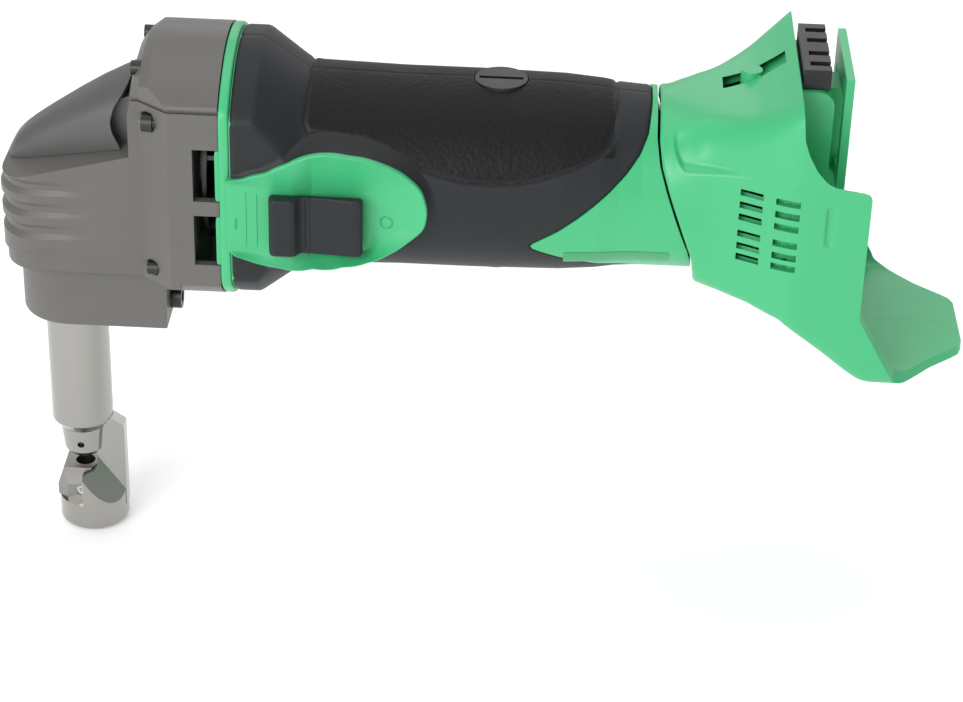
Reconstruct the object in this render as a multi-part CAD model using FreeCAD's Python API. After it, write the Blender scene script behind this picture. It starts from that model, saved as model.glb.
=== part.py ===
import FreeCAD, Part
import math
import os

# Hand-held nibbler: every sub-part is its own closed solid, written to parts/NODE.step.
# Millimetres.  The barrel runs along X and the punch along Z.  Everything is drawn with the
# barrel axis on Z = 0 and lifted by BARREL_Z when written, so the cutting point is the origin.

Vec = FreeCAD.Vector

BARREL_Z = 119.0           # barrel axis above the cutting point
RUN = 0.05                 # radial clearance of a running or locating fit
AIR = 0.3                  # air left between neighbouring pieces

# gear case
HEAD_R = 43.9              # radius of the drum behind the nose
HEAD_FLAT = 31.0           # half width over the drum's flat sides
HEAD_REAR = 53.0
HEAD_FRONT = 27.0
HEAD_WALL = 3.0
SHOULDER_ROUND = 2.0
NOSE_FRONT = -20.4
NOSE_HALF = 23.0
NOSE_STEPS = 20            # straight steps in each rounded front corner
NOSE_BOTTOM = -33.0
LEDGE = [(-21.0, -1.8), (27.0, 10.3)]        # (x, z) line of the case's upper edge
NECK = [(-2.0, 0.5), (-1.0, 9.5), (4.4, 14.0), (20.0, 23.5), (28.0, 26.5), (28.0, 0.5)]
NECK_HALF = 9.5
GROOVE_Z = (-3.0, -10.8, -18.6)              # scalloped grip grooves round the nose
GROOVE_H = 2.6
GROOVE_END = 15.0
GROOVE_DEPTH = 1.2
SKIRT = [(-30.0, -30.5), (-12.0, -26.0), (-4.0, -24.6), (6.0, -26.9), (18.0, -29.6), (26.8, -31.8),
         (26.8, -40.0),
         (-30.0, -40.0)]       # (x, z) outline of the set-back band
SKIRT_DEPTH = 0.9
WINDOW_X = (44.8, 51.7)                      # fan outlet windows
WINDOW_Z = ((-1.0, 17.0), (-23.5, -6.0))
# y, z, head radius
SCREWS = ((26.2, 23.6, 3.0), (25.6, -28.0, 2.3), (-26.2, 23.6, 3.0), (-25.6, -28.0, 2.3))
SCREW_R = 1.9
SCREW_HEAD_X = (28.8, 32.2)
SCREW_END = 62.4
STEP_LINE = (29.0, 30.2)    # height of the groove where the round top meets the flat sides
STEP_DEPTH = 1.0
PLUG_Y = 14.0              # two plugs near the top of the drum's front face
PLUG_Z = 36.4
PLUG_R = 2.3
PLUG_X = (24.2, 30.9)

# nose cover
COVER = [(-18.0, 1.4), (-10.7, 10.0), (4.4, 20.5), (23.2, 30.4), (19.6, 8.8), (-17.6, -0.6)]
COVER_HALF = 16.6
COVER_ROUND = 3.5

# crank and gears
CRANK_Z = -16.8
MODULE = 0.7
PINION_TEETH = 8
GEAR_TEETH = 40
SHIFT = 0.53               # profile shift, plus on the pinion and minus on the gear
PRESSURE = math.radians(20.0)
BACKLASH = 0.06            # taken off each flank
PINION_TIP = 3.6
GEAR_X = (30.5, 37.5)
THROW = 3.0
PIN_R = 2.2
ROLLER_R = 3.0
DISC_R = 12.0
DISC_X = (7.0, 10.5)

# ball bearings: (bore radius, outer radius, x0, x1, z, balls)
CRANK_FRONT = (5.0, 11.0, 12.0, 18.0, CRANK_Z, 9)
CRANK_REAR = (3.0, 6.5, 38.5, 43.5, CRANK_Z, 8)
ROTOR_FRONT = (3.0, 8.5, 38.5, 43.5, 0.0, 8)
ROTOR_REAR = (3.5, 9.5, 150.0, 156.0, 0.0, 8)

# ram, punch, die and their holder
YOKE_X = 5.0               # half thickness
YOKE_Y = 10.5              # half width
YOKE_Z = (-26.6, -1.0)
SLOT_Y = 6.4               # half width of the yoke's window
SLOT_Z = (CRANK_Z - 6.4, CRANK_Z + 12.4)
RAM_R = 6.0
RAM_END = -98.0
PUNCH_R = 3.2
PUNCH_Z = (-114.2, -86.0)
HOLDER_R = 10.3
HOLDER_TOP = -40.0
HOLDER_PROFILE = [(-40.0, 10.3), (-47.0, 10.3), (-47.0, 9.0), (-51.4, 9.0), (-51.4, 10.3),
                  (-100.0, 10.3), (-103.5, 7.6), (-112.4, 6.7), (-114.6, 4.8)]
DIE_TOP = -119.0
DIE_FOOT = -131.0
FOOT_BOTTOM = -141.0
FOOT_R = 11.8
FOOT_X = 2.5
SPINE_HALF = 2.7
SPINE = [(4.7, -112.0), (7.4, -103.0), (9.0, -99.5), (14.3, -103.0), (14.3, -135.0), (4.7, -135.0)]
THROAT_BACK = 4.7
DIE_PLAN = [(-9.3, -3.6), (-5.4, -7.4), (0.2, -7.4), (3.0, -5.6), (4.4, -2.6), (4.4, 2.6), (3.0, 5.6),
            (0.2, 7.4), (-5.4, 7.4), (-9.3, 3.6)]
BUSH_R = 7.5
BUSH_Z = (-66.0, -41.0)

# block under the head that clamps the holder
BLOCK_R = 17.0
BLOCK_REAR = 33.0
BLOCK_Z = (-56.0, -33.0)
POCKET_R = 14.0
POCKET_FLOOR = -38.5
BOLT_Y = 6.0
BOLT_Z = -49.2

# bezel, switch
BEZEL_X = (53.2, 56.5)
BEZEL_HALF = 32.6
KNOB_X = (69.0, 98.5)
KNOB_Z = (-15.6, 4.4)
BOWL_Y = -33.0             # floor of the dish the knob slides in
RIM_Y = -35.0

# barrel
GRIP_PROFILE = [(56.9, 42.9), (64.6, 42.9), (76.6, 34.1), (81.5, 32.7), (108.0, 32.0),
                (134.0, 32.0), (160.0, 31.5), (172.0, 30.5), (178.0, 29.5), (185.0, 29.0), (206.0, 29.0)]
CORE_PROFILE = [(56.6, 42.2), (63.4, 42.2), (65.4, 40.2), (76.0, 32.2), (82.0, 30.2), (108.0, 29.6),
                (160.0, 29.1), (178.0, 27.2), (206.0, 26.6)]
BORE_PROFILE = [(56.0, 39.5), (62.0, 39.5), (75.0, 28.8), (84.0, 27.0), (150.0, 26.8),
                (178.0, 24.6), (207.0, 24.0)]
WEDGE = [(151.0, -12.6), (152.0, -11.4), (155.0, -9.3), (159.0, -6.6), (165.0, -1.8), (170.0, 2.6),
         (175.0, 7.2), (180.0, 12.4), (184.0, 17.6), (186.5, 22.5), (187.6, 28.5), (187.6, 34.0),
         (206.0, 34.0), (206.0, -27.4), (190.0, -25.4), (172.0, -21.8), (160.0, -17.4), (154.0, -14.9),
         (151.6, -13.6)]
# (x, z) line where the motor housing ends and the tail begins
PARTING = [(189.2, 40.0), (189.2, 22.0), (190.4, 15.0), (193.1, 7.0), (197.2, -4.5), (200.6, -14.0),
           (202.2, -21.0), (202.8, -40.0)]
PARTING_GAP = 0.9

# motor
CAN_R = 25.0
CAN_X = (76.0, 126.0)
MAGNET_R = (17.2, 22.6)
CORE_R = 16.5
CORE_X = (78.0, 122.0)
SLOTS = 12
COMM_X = (132.0, 147.0)
COMM_R = 11.0
BARS = 24
BRUSH_X = 139.5
CAP_R = 8.4
FAN_X = (47.0, 56.0)
FAN_R = 26.0
BLADES = 11

# tail sections: (x, half width, top, bottom, corner radius)
TAIL = [(188.0, 29.1, 29.1, -29.1, 28.7), (200.0, 29.6, 29.3, -28.8, 19.0), (211.0, 31.6, 30.6, -28.2, 11.0),
        (220.0, 36.0, 34.0, -28.4, 8.0), (227.0, 39.6, 38.4, -30.0, 6.0), (232.0, 41.7, 43.6, -32.0, 5.0)]
TAIL_WALL = 3.0
WING = [(230.0, 40.0), (232.0, 42.0), (233.5, 31.0), (243.0, 18.4), (255.0, 17.2), (255.0, -27.0),
        (267.5, -48.5), (267.5, -52.0), (256.0, -52.0), (243.0, -41.5), (230.0, -31.0)]
WING_Y = (38.6, 42.0)
FLOOR = [(230.0, -31.0), (230.0, -28.0), (243.0, -37.8), (256.0, -48.0), (258.0, -48.0), (258.0, -52.0),
         (256.0, -52.0), (243.0, -41.5)]
TONGUE = [(256.0, 42.0), (267.5, 42.0), (276.0, 31.5), (290.0, 17.5), (292.5, 14.5)]
TONGUE_Z = (-52.0, -48.0)
TAIL_VENT_X = ((215.3, 222.3), (226.0, 233.4))
TAIL_VENT_ROWS = (12.2, 7.9, 3.7, -2.0, -6.3, -10.1)
TAIL_VENT_HALF = 1.1
TAIL_SCREWS = ((206.0, 15.0), (206.0, -17.0), (225.0, 25.0), (224.0, -20.0))


def box(x0, x1, y0, y1, z0, z1):
    return Part.makeBox(x1 - x0, y1 - y0, z1 - z0, Vec(x0, y0, z0))


def rod_x(r, x0, x1, y=0.0, z=0.0):
    return Part.makeCylinder(r, x1 - x0, Vec(x0, y, z), Vec(1, 0, 0))


def rod_y(r, y0, y1, x=0.0, z=0.0):
    return Part.makeCylinder(r, y1 - y0, Vec(x, y0, z), Vec(0, 1, 0))


def rod_z(r, z0, z1, x=0.0, y=0.0):
    return Part.makeCylinder(r, z1 - z0, Vec(x, y, z0), Vec(0, 0, 1))


def tube_x(r_out, r_in, x0, x1, y=0.0, z=0.0):
    return rod_x(r_out, x0, x1, y, z).cut(rod_x(r_in, x0 - 1, x1 + 1, y, z))


def prism(points, lo, hi):
    """Prism of a closed outline given as 3-D points, swept from offset lo to offset hi."""
    face = Part.Face(Part.makePolygon(points + points[:1]))
    swept = face.extrude(hi - lo)
    swept.translate(lo)
    return swept


def side_prism(outline, y0, y1):
    """(x, z) outline swept along Y."""
    return prism([Vec(x, 0, z) for x, z in outline], Vec(0, y0, 0), Vec(0, y1, 0))


def plan_prism(outline, z0, z1):
    """(x, y) outline swept along Z."""
    return prism([Vec(x, y, 0) for x, y in outline], Vec(0, 0, z0), Vec(0, 0, z1))


def end_prism(outline, x0, x1):
    """(y, z) outline swept along X."""
    return prism([Vec(0, y, z) for y, z in outline], Vec(x0, 0, 0), Vec(x1, 0, 0))


def turned_x(profile, z=0.0):
    """Solid of revolution about the X line at height z from (x, radius) corners."""
    corners = [Vec(x, 0, z + r) for x, r in profile]
    ends = [Vec(profile[-1][0], 0, z), Vec(profile[0][0], 0, z)]
    outline = corners + ends
    face = Part.Face(Part.makePolygon(outline + outline[:1]))
    return face.revolve(Vec(0, 0, z), Vec(1, 0, 0), 360)


def turned_z(profile):
    """Solid of revolution about the Z axis from (z, radius) corners."""
    corners = [Vec(r, 0, z) for z, r in profile]
    ends = [Vec(0, 0, profile[-1][0]), Vec(0, 0, profile[0][0])]
    outline = corners + ends
    face = Part.Face(Part.makePolygon(outline + outline[:1]))
    return face.revolve(Vec(0, 0, 0), Vec(0, 0, 1), 360)


def join(shapes):
    return shapes[0].multiFuse(shapes[1:]).removeSplitter()


def both_sides(shape):
    """The shape and its mirror image in the XZ plane."""
    return [shape, shape.mirror(Vec(0, 0, 0), Vec(0, 1, 0))]


def save(name, shape):
    """Lift the shape to the shared frame and write its solids to parts/NAME.step."""
    lifted = shape.copy()
    lifted.translate(Vec(0, 0, BARREL_Z))
    solids = lifted.Solids
    if not solids or not all(solid.isValid() and solid.Volume > 0 for solid in solids):
        raise ValueError("bad solid in " + name)
    Part.makeCompound(solids).exportStep("parts/" + name + ".step")


def rounded_edges(shape, radius, wanted):
    """Fillet the edges for which wanted(edge) is true."""
    return shape.makeFillet(radius, [edge for edge in shape.Edges if wanted(edge)])


# ---------------------------------------------------------------- gear case

def nose_outline(inset):
    """Plan outline of the nose: rounded front corners, flanks widening into the drum."""
    front = NOSE_FRONT + inset
    half = NOSE_HALF - inset
    corner = 12.4
    flat = 8.0
    side = []
    for step in range(NOSE_STEPS + 1):
        turn = math.radians(90.0 * step / NOSE_STEPS)
        side.append((front + corner * (1 - math.sin(turn)), flat + (half - flat) * math.cos(turn)))
    rear = [(45.0, HEAD_FLAT - inset), (37.0, HEAD_FLAT - inset), (HEAD_FRONT, half)]
    upper = rear + side
    return upper + [(x, -y) for x, y in reversed(upper)]


def sloped_top(x0, x1, z0, drop=0.0):
    """Slab below the sloping ledge line."""
    (xa, za), (xb, zb) = LEDGE
    outline = [(x0, z0), (x0, za - drop), (xa, za - drop), (xb, zb - drop), (x1, zb - drop), (x1, z0)]
    return side_prism(outline, -60.0, 60.0)


def case_outside():
    drum = turned_x([(23.6, 33.0), (25.2, 38.2), (27.6, 41.5), (30.8, HEAD_R), (HEAD_REAR, HEAD_R)])
    drum = drum.common(box(0.0, 90.0, -HEAD_FLAT, HEAD_FLAT, -60.0, 60.0))
    flank = plan_prism(nose_outline(0.0), -60.0, 60.0)
    rear = box(40.0, 90.0, -60.0, 60.0, -60.0, 60.0)
    drum = drum.common(flank.fuse(rear))
    drum = drum.cut(box(0.0, 34.3, -60.0, 60.0, -60.0, NOSE_BOTTOM))
    drum = rounded_edges(drum, SHOULDER_ROUND, shoulder_edge)
    nose = plan_prism(nose_outline(0.0), NOSE_BOTTOM, 20.0)
    nose = nose.common(sloped_top(-40.0, 60.0, -40.0))
    nose = nose.common(box(-40.0, 40.0, -60.0, 60.0, -60.0, 60.0))
    neck = side_prism(NECK, -NECK_HALF, NECK_HALF)
    return join([drum, nose, neck])


def shoulder_edge(edge):
    """The long edges where the drum's round top and bottom meet its flat sides."""
    b = edge.BoundBox
    return b.XLength > 10.0 and b.YLength < 0.01 and b.ZLength < 0.01 and b.XMax > HEAD_REAR - 0.01


def loft_between(outlines):
    """Ruled solid through like plan outlines, given with their heights."""
    wires = []
    for z, outline in outlines:
        points = [Vec(x, y, z) for x, y in outline]
        wires.append(Part.makePolygon(points + points[:1]))
    return Part.makeLoft(wires, True, True)


def groove_outline(depth):
    """Nose outline set in by depth at the front and running out on the flanks."""
    front = nose_outline(depth)
    count = len(front) // 2
    side = [(24.0, NOSE_HALF + 0.4), (GROOVE_END, NOSE_HALF + 0.1)] + front[3:count]
    return side + [(x, -y) for x, y in reversed(side)]


def nose_grooves():
    """Three scallops round the nose: a slab less a waisted copy of the nose."""
    rings = []
    for z in GROOVE_Z:
        outside = plan_prism(nose_outline(-3.0), z - GROOVE_H, z + GROOVE_H)
        outside = outside.common(box(-40.0, GROOVE_END, -60.0, 60.0, -60.0, 60.0))
        levels = [(-GROOVE_H - 0.1, -0.05), (-0.9, GROOVE_DEPTH), (0.9, GROOVE_DEPTH),
                  (GROOVE_H + 0.1, -0.05)]
        inside = loft_between([(z + rise, groove_outline(depth)) for rise, depth in levels])
        rings.append(outside.cut(inside))
    return rings


def nose_skirt():
    """Set-back along the lower edge of the nose, deeper towards the front."""
    band = side_prism(SKIRT, -60.0, 60.0)
    inner = plan_prism(nose_outline(SKIRT_DEPTH), -60.0, 20.0).fuse(box(27.0, 90.0, -60.0, 60.0, -60.0, 60.0))
    return band.cut(inner)


def step_line():
    """Groove round both sides where the drum's round top meets its flat sides."""
    slab = box(20.0, HEAD_REAR + 1, -60.0, 60.0, *STEP_LINE)
    half = HEAD_FLAT - STEP_DEPTH
    inner = plan_prism(nose_outline(STEP_DEPTH), *STEP_LINE).fuse(box(40.0, 90.0, -half, half, *STEP_LINE))
    return slab.cut(inner)


def gear_case():
    body = case_outside()
    room_r = HEAD_R - HEAD_WALL
    room = rod_x(room_r, 29.8, HEAD_REAR + 1)
    room = room.common(box(0.0, 90.0, 3.0 - HEAD_FLAT, HEAD_FLAT - 3.0, -60.0, 60.0))
    flank = plan_prism(nose_outline(3.0), -60.0, 60.0).fuse(box(40.0, 90.0, -60.0, 60.0, -60.0, 60.0))
    room = room.common(flank)
    keep = box(0.0, 34.5 + HEAD_WALL, -60.0, 60.0, -60.0, -37.6)
    room = room.cut(keep)
    cuts = [room]
    cuts.append(box(19.5, 32.0, -19.0, 19.0, -29.8, 4.0))
    cuts.append(box(-9.5, 11.6, -16.0, 16.0, -30.0, 0.0))
    cuts.append(rod_z(POCKET_R, NOSE_BOTTOM - 1, -29.0))
    cuts.append(rod_x(CRANK_FRONT[1] + 0.02, 11.0, CRANK_FRONT[3], 0.0, CRANK_Z))
    cuts.append(rod_x(8.2, 11.0, 20.0, 0.0, CRANK_Z))
    for z0, z1 in WINDOW_Z:
        cuts.append(box(WINDOW_X[0], HEAD_REAR + 1, -60.0, 60.0, z0, z1))
    cuts += nose_grooves() + [nose_skirt(), step_line()]
    body = body.cut(cuts)
    posts = []
    for y, z, head_r in SCREWS:
        posts.append(rod_x(4.2, 29.0, 44.2, y, z))
    outer = case_outside()
    body = join([body] + [post.common(outer) for post in posts])
    holes = []
    for y, z, head_r in SCREWS:
        holes.append(rod_x(SCREW_R + 0.1, 20.0, 62.0, y, z))
        holes.append(rod_x(head_r + 0.3, 22.0, SCREW_HEAD_X[1], y, z))
    holes += [rod_x(PLUG_R + 0.1, 20.0, PLUG_X[1] + 0.1, y, PLUG_Z) for y in (-PLUG_Y, PLUG_Y)]
    return body.cut(holes)


def nose_cover():
    shell = side_prism(COVER, -COVER_HALF, COVER_HALF)
    shell = rounded_edges(shell, COVER_ROUND, cover_top_edge)
    inner = side_prism([(x + (AIR if x > 27 else -AIR), z + AIR) for x, z in NECK], -NECK_HALF - AIR,
                       NECK_HALF + AIR)
    inner = inner.fuse(box(-14.0, 40.0, -NECK_HALF - AIR, NECK_HALF + AIR, -10.0, 2.6))
    under = sloped_top(-60.0, 60.0, -60.0, -0.15)
    return shell.cut([inner, under])


def cover_top_edge(edge):
    """Edges along the two upper flanks of the nose cover."""
    box_ = edge.BoundBox
    return box_.ZMax > 8.0 and box_.YLength < 0.1 and abs(abs(box_.YMin) - COVER_HALF) < 0.1 and box_.ZMin > 1.9


def head_screws():
    screws = []
    for y, z, head_r in SCREWS:
        head = rod_x(head_r, SCREW_HEAD_X[0], SCREW_HEAD_X[1], y, z)
        head = head.cut(hexagon_x(0.6 * head_r, SCREW_HEAD_X[0] - 1, SCREW_HEAD_X[0] + 2.2, y, z))
        screws.append(head.fuse(rod_x(SCREW_R, SCREW_HEAD_X[1] - 0.5, SCREW_END, y, z)).removeSplitter())
    return Part.makeCompound(screws)


def hexagon_x(r, x0, x1, y, z):
    corners = []
    for step in range(6):
        turn = math.radians(60.0 * step)
        corners.append((y + r * math.cos(turn), z + r * math.sin(turn)))
    return end_prism(corners, x0, x1)


def top_plugs():
    """Two hexagon socket plugs in the front face of the drum, over the nose cover."""
    plugs = []
    for y in (-PLUG_Y, PLUG_Y):
        plug = rod_x(PLUG_R, PLUG_X[0], PLUG_X[1], y, PLUG_Z)
        plugs.append(plug.cut(hexagon_x(1.6, PLUG_X[0] - 1, PLUG_X[0] + 2.2, y, PLUG_Z)))
    return Part.makeCompound(plugs)


# ---------------------------------------------------------------- holder block

def holder_block():
    plan = rod_z(BLOCK_R, BLOCK_Z[0], BLOCK_Z[1]).common(box(-30.0, 0.0, -30.0, 30.0, -60.0, 0.0))
    rear = box(0.0, BLOCK_REAR, -BLOCK_R, BLOCK_R, BLOCK_Z[0], BLOCK_Z[1])
    body = join([plan, rear])
    cuts = [rod_z(POCKET_R, POCKET_FLOOR, BLOCK_Z[1] + 1)]
    cuts.append(rod_z(RAM_R + 0.5, HOLDER_TOP - 1, POCKET_FLOOR + 1))
    cuts.append(rod_z(HOLDER_R + RUN, BLOCK_Z[0] - 1, HOLDER_TOP + RUN))
    for y in (-BOLT_Y, BOLT_Y):
        cuts.append(rod_x(2.1, 0.0, BLOCK_REAR + 1, y, BOLT_Z))
    body = body.cut(cuts)
    return rounded_edges(body, 1.2, block_low_edge)


def block_low_edge(edge):
    """Outer edges of the block's underside."""
    b = edge.BoundBox
    low = abs(b.ZMin - BLOCK_Z[0]) < 0.01 and b.ZLength < 0.01
    outer = b.XMax > BLOCK_REAR - 0.01 or abs(b.XMin + BLOCK_R) < 0.01
    side = abs(abs(b.YMin) - BLOCK_R) < 0.01 and b.YLength < 0.01
    return low and (outer or side)


def holder_lock_bolts():
    bolts = []
    for y in (-BOLT_Y, BOLT_Y):
        head = rod_x(4.0, BLOCK_REAR, BLOCK_REAR + 3.6, y, BOLT_Z)
        head = head.cut(hexagon_x(2.3, BLOCK_REAR + 1.4, BLOCK_REAR + 5, y, BOLT_Z))
        shank = rod_x(2.0, 9.4, BLOCK_REAR + 0.5, y, BOLT_Z)
        bolts.append(head.fuse(shank).removeSplitter())
    return Part.makeCompound(bolts)


# ---------------------------------------------------------------- gears and crank

def involute(angle):
    return math.tan(angle) - angle


def tooth_flank(teeth, shift, tip_r):
    """(radius, half angle) pairs up one involute flank, thinned by the backlash."""
    pitch_r = MODULE * teeth / 2
    base_r = pitch_r * math.cos(PRESSURE)
    thick = MODULE * (math.pi / 2 + 2 * shift * math.tan(PRESSURE)) - 2 * BACKLASH
    half = thick / (2 * pitch_r) + involute(PRESSURE)
    start = max(base_r, pitch_r - MODULE * (1.25 - shift)) + 0.01
    pairs = []
    for step in range(5):
        r = start + (tip_r - start) * step / 4
        pairs.append((r, half - involute(math.acos(base_r / r))))
    return pairs


def gear_outline(teeth, shift, tip_r, first):
    """Corners of a spur gear; the first tooth's middle lies at angle first in the YZ plane."""
    root_r = MODULE * teeth / 2 - MODULE * (1.25 - shift)
    flank = tooth_flank(teeth, shift, tip_r)
    corners = []
    for tooth in range(teeth):
        middle = first + 2 * math.pi * tooth / teeth
        rising = [(root_r, flank[0][1])] + flank
        for r, half in rising:
            corners.append((r * math.cos(middle - half), r * math.sin(middle - half)))
        for r, half in reversed(rising):
            corners.append((r * math.cos(middle + half), r * math.sin(middle + half)))
    return corners


def motor_pinion():
    outline = gear_outline(PINION_TEETH, SHIFT, PINION_TIP, -math.pi / 2)
    return end_prism(outline, GEAR_X[0] - 0.5, 38.0)


def drive_gear():
    tip = MODULE * GEAR_TEETH / 2 + MODULE * (1 - SHIFT)
    outline = gear_outline(GEAR_TEETH, -SHIFT, tip, math.pi / 2 + math.pi / GEAR_TEETH)
    wheel = end_prism([(y, z + CRANK_Z) for y, z in outline], GEAR_X[0], GEAR_X[1])
    cuts = [rod_x(5.5, 29.0, 39.0, 0.0, CRANK_Z)]
    for x0, x1 in ((GEAR_X[0] - 1, GEAR_X[0] + 2.2), (GEAR_X[1] - 2.2, GEAR_X[1] + 1)):
        cuts.append(tube_x(11.6, 8.0, x0, x1, 0.0, CRANK_Z))
    for step in range(6):
        turn = math.radians(60.0 * step)
        cuts.append(rod_x(1.3, 29.0, 39.0, 9.8 * math.cos(turn), CRANK_Z + 9.8 * math.sin(turn)))
    return wheel.cut(cuts)


def crank_shaft():
    profile = [(DISC_X[0], DISC_R), (DISC_X[1], DISC_R), (DISC_X[1], 7.0), (12.0, 7.0), (12.0, 5.0),
               (18.0, 5.0), (18.0, 6.5), (GEAR_X[0], 6.5), (GEAR_X[0], 5.5), (38.3, 5.5),
               (38.3, 3.0), (44.0, 3.0)]
    shaft = turned_x(profile, CRANK_Z)
    pin = rod_x(PIN_R, -6.0, DISC_X[0] + 0.5, 0.0, CRANK_Z + THROW)
    lightening = rod_x(3.2, DISC_X[0] - 1, DISC_X[1] + 1, 0.0, CRANK_Z - 7.6)
    return shaft.fuse(pin).cut(lightening).removeSplitter()


def crank_roller():
    return tube_x(ROLLER_R, PIN_R + 0.02, -4.6, 5.6, 0.0, CRANK_Z + THROW)


def bearing_outer(spec):
    bore, outer, x0, x1, z, _ = spec
    middle = (bore + outer) / 2
    inner = middle + (outer - bore) * 0.25 + 0.12
    return tube_x(outer, inner, x0, x1, 0.0, z)


def bearing_inner(spec):
    """Inner ring with its balls seated in it."""
    bore, outer, x0, x1, z, balls = spec
    middle = (bore + outer) / 2
    ball_r = (outer - bore) * 0.25
    ring = tube_x(middle - ball_r * 0.7, bore, x0, x1, 0.0, z)
    pieces = [ring]
    for step in range(balls):
        turn = 2 * math.pi * step / balls
        centre = Vec((x0 + x1) / 2, middle * math.cos(turn), z + middle * math.sin(turn))
        pieces.append(Part.makeSphere(ball_r, centre))
    return pieces[0].multiFuse(pieces[1:])


def bearing_plate():
    """Plate inside the drum carrying the crank's rear bearing and the rotor's front bearing."""
    plate = rod_x(HEAD_R - HEAD_WALL - 0.3, 41.5, 44.5).common(box(40.0, 50.0, -27.7, 27.7, -60.0, 60.0))
    plate = plate.fuse([rod_x(11.2, 38.5, 45.4), rod_x(8.3, 38.5, 44.5, 0.0, CRANK_Z)])
    cuts = [rod_x(ROTOR_FRONT[1] + 0.02, 30.0, ROTOR_FRONT[3]), rod_x(6.4, 30.0, 50.0)]
    cuts.append(rod_x(CRANK_REAR[1] + 0.02, 30.0, CRANK_REAR[3], 0.0, CRANK_Z))
    cuts.append(rod_x(4.6, 30.0, 50.0, 0.0, CRANK_Z))
    for y, z, head_r in SCREWS:
        cuts.append(rod_x(4.4, 30.0, 50.0, y, z))
    return plate.cut(cuts).removeSplitter()


# ---------------------------------------------------------------- ram, punch, die, holder

def ram():
    yoke = box(-YOKE_X, YOKE_X, -YOKE_Y, YOKE_Y, YOKE_Z[0], YOKE_Z[1])
    yoke = yoke.cut(box(-YOKE_X - 1, YOKE_X + 1, -SLOT_Y, SLOT_Y, SLOT_Z[0], SLOT_Z[1]))
    rod = rod_z(RAM_R, RAM_END, YOKE_Z[0] + 1)
    body = join([yoke, rod])
    socket = rod_z(PUNCH_R + 0.02, RAM_END - 1, PUNCH_Z[1])
    cross = rod_y(1.5, -8.0, 0.0, 0.0, -92.0)
    return body.cut([socket, cross])


def punch():
    """Round punch with a hollow-ground tip."""
    body = rod_z(PUNCH_R, PUNCH_Z[0], PUNCH_Z[1])
    grind = rod_y(9.0, -10.0, 10.0, 0.0, PUNCH_Z[0] - 8.3)
    return body.cut(grind)


def punch_screw():
    screw = rod_y(1.45, -5.7, -PUNCH_R - 0.01, 0.0, -92.0)
    socket = rod_y(0.8, -6.5, -4.6, 0.0, -92.0)
    return screw.cut([socket, rod_z(PUNCH_R, -95.0, -89.0)])


def ram_bush():
    return turned_z([(z, BUSH_R) for z in BUSH_Z]).cut(rod_z(RAM_R + 0.04, -70.0, -38.0))


def die_holder():
    tube = turned_z(HOLDER_PROFILE)
    spine = side_prism(SPINE, -SPINE_HALF, SPINE_HALF)
    foot = rod_z(FOOT_R, FOOT_BOTTOM, DIE_FOOT, FOOT_X)
    foot = rounded_edges(foot, 2.2, lambda edge: abs(edge.BoundBox.ZMax - FOOT_BOTTOM) < 0.01)
    body = join([tube, spine, foot, foot_gusset()])
    cuts = [rod_z(BUSH_R + 0.02, BUSH_Z[0], -30.0), rod_z(RAM_R + 0.35, -104.4, -30.0)]
    cuts.append(rod_z(PUNCH_R + RUN, DIE_TOP + 1, -104.0))
    cuts.append(rod_z(PUNCH_R + 1.0, FOOT_BOTTOM - 1, DIE_FOOT + 1))
    cuts.append(rod_y(1.2, -12.0, 0.0, 0.0, -108.8))
    for y in (-4.4, 4.4):
        cuts.append(rod_z(1.3, DIE_FOOT - 5.0, DIE_FOOT + 1, -4.6, y))
    return body.cut(cuts)


def foot_gusset():
    """Rounded shoulder behind the die, sloping down outwards and rearwards from the spine."""
    body = rod_z(FOOT_R, DIE_FOOT - 1, -114.0, FOOT_X)
    for side in (-1.0, 1.0):
        slab = Part.makeBox(100, 100, 100, Vec(-50, -50, -100))
        slab.Placement = FreeCAD.Placement(Vec(5.0, 2.7 * side, -116.0),
                                           FreeCAD.Rotation(Vec(0, 0, 1), Vec(1.4, 1.2 * side, 1.0)))
        body = body.common(slab)
    body = body.common(box(0.6, 40.0, -30.0, 30.0, -140.0, -110.0))
    seat = plan_prism([(x + AIR if x > 0 else x, y * 1.04) for x, y in DIE_PLAN], DIE_FOOT, DIE_TOP + 10)
    throat = box(-20.0, THROAT_BACK, -30.0, 30.0, DIE_TOP - AIR, -100.0)
    return body.cut([seat, throat])


def die():
    block = plan_prism(DIE_PLAN, DIE_FOOT, DIE_TOP)
    top = side_prism([(-12.0, -140.0), (-12.0, -127.0), (-9.3, -127.0), (-6.7, DIE_TOP), (6.0, DIE_TOP),
                      (6.0, -140.0)], -20.0, 20.0)
    block = block.common(top)
    flanks = end_prism([(-9.0, -140.0), (-7.8, -126.0), (-5.6, DIE_TOP), (5.6, DIE_TOP), (7.8, -126.0),
                        (9.0, -140.0)], -20.0, 20.0)
    block = block.common(flanks)
    cuts = [rod_z(PUNCH_R + 0.15, -123.0, DIE_TOP + 1), rod_z(PUNCH_R + 0.8, DIE_FOOT - 1, -123.0)]
    for y in (-4.4, 4.4):
        cuts.append(rod_z(1.3, DIE_FOOT - 1, DIE_FOOT + 3.4, -4.6, y))
    for side in (-1.0, 1.0):
        cuts.append(rod_y(1.9, min(4.6 * side, 10.0 * side), max(4.6 * side, 10.0 * side), -0.5, -127.2))
    return block.cut(cuts)


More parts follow.
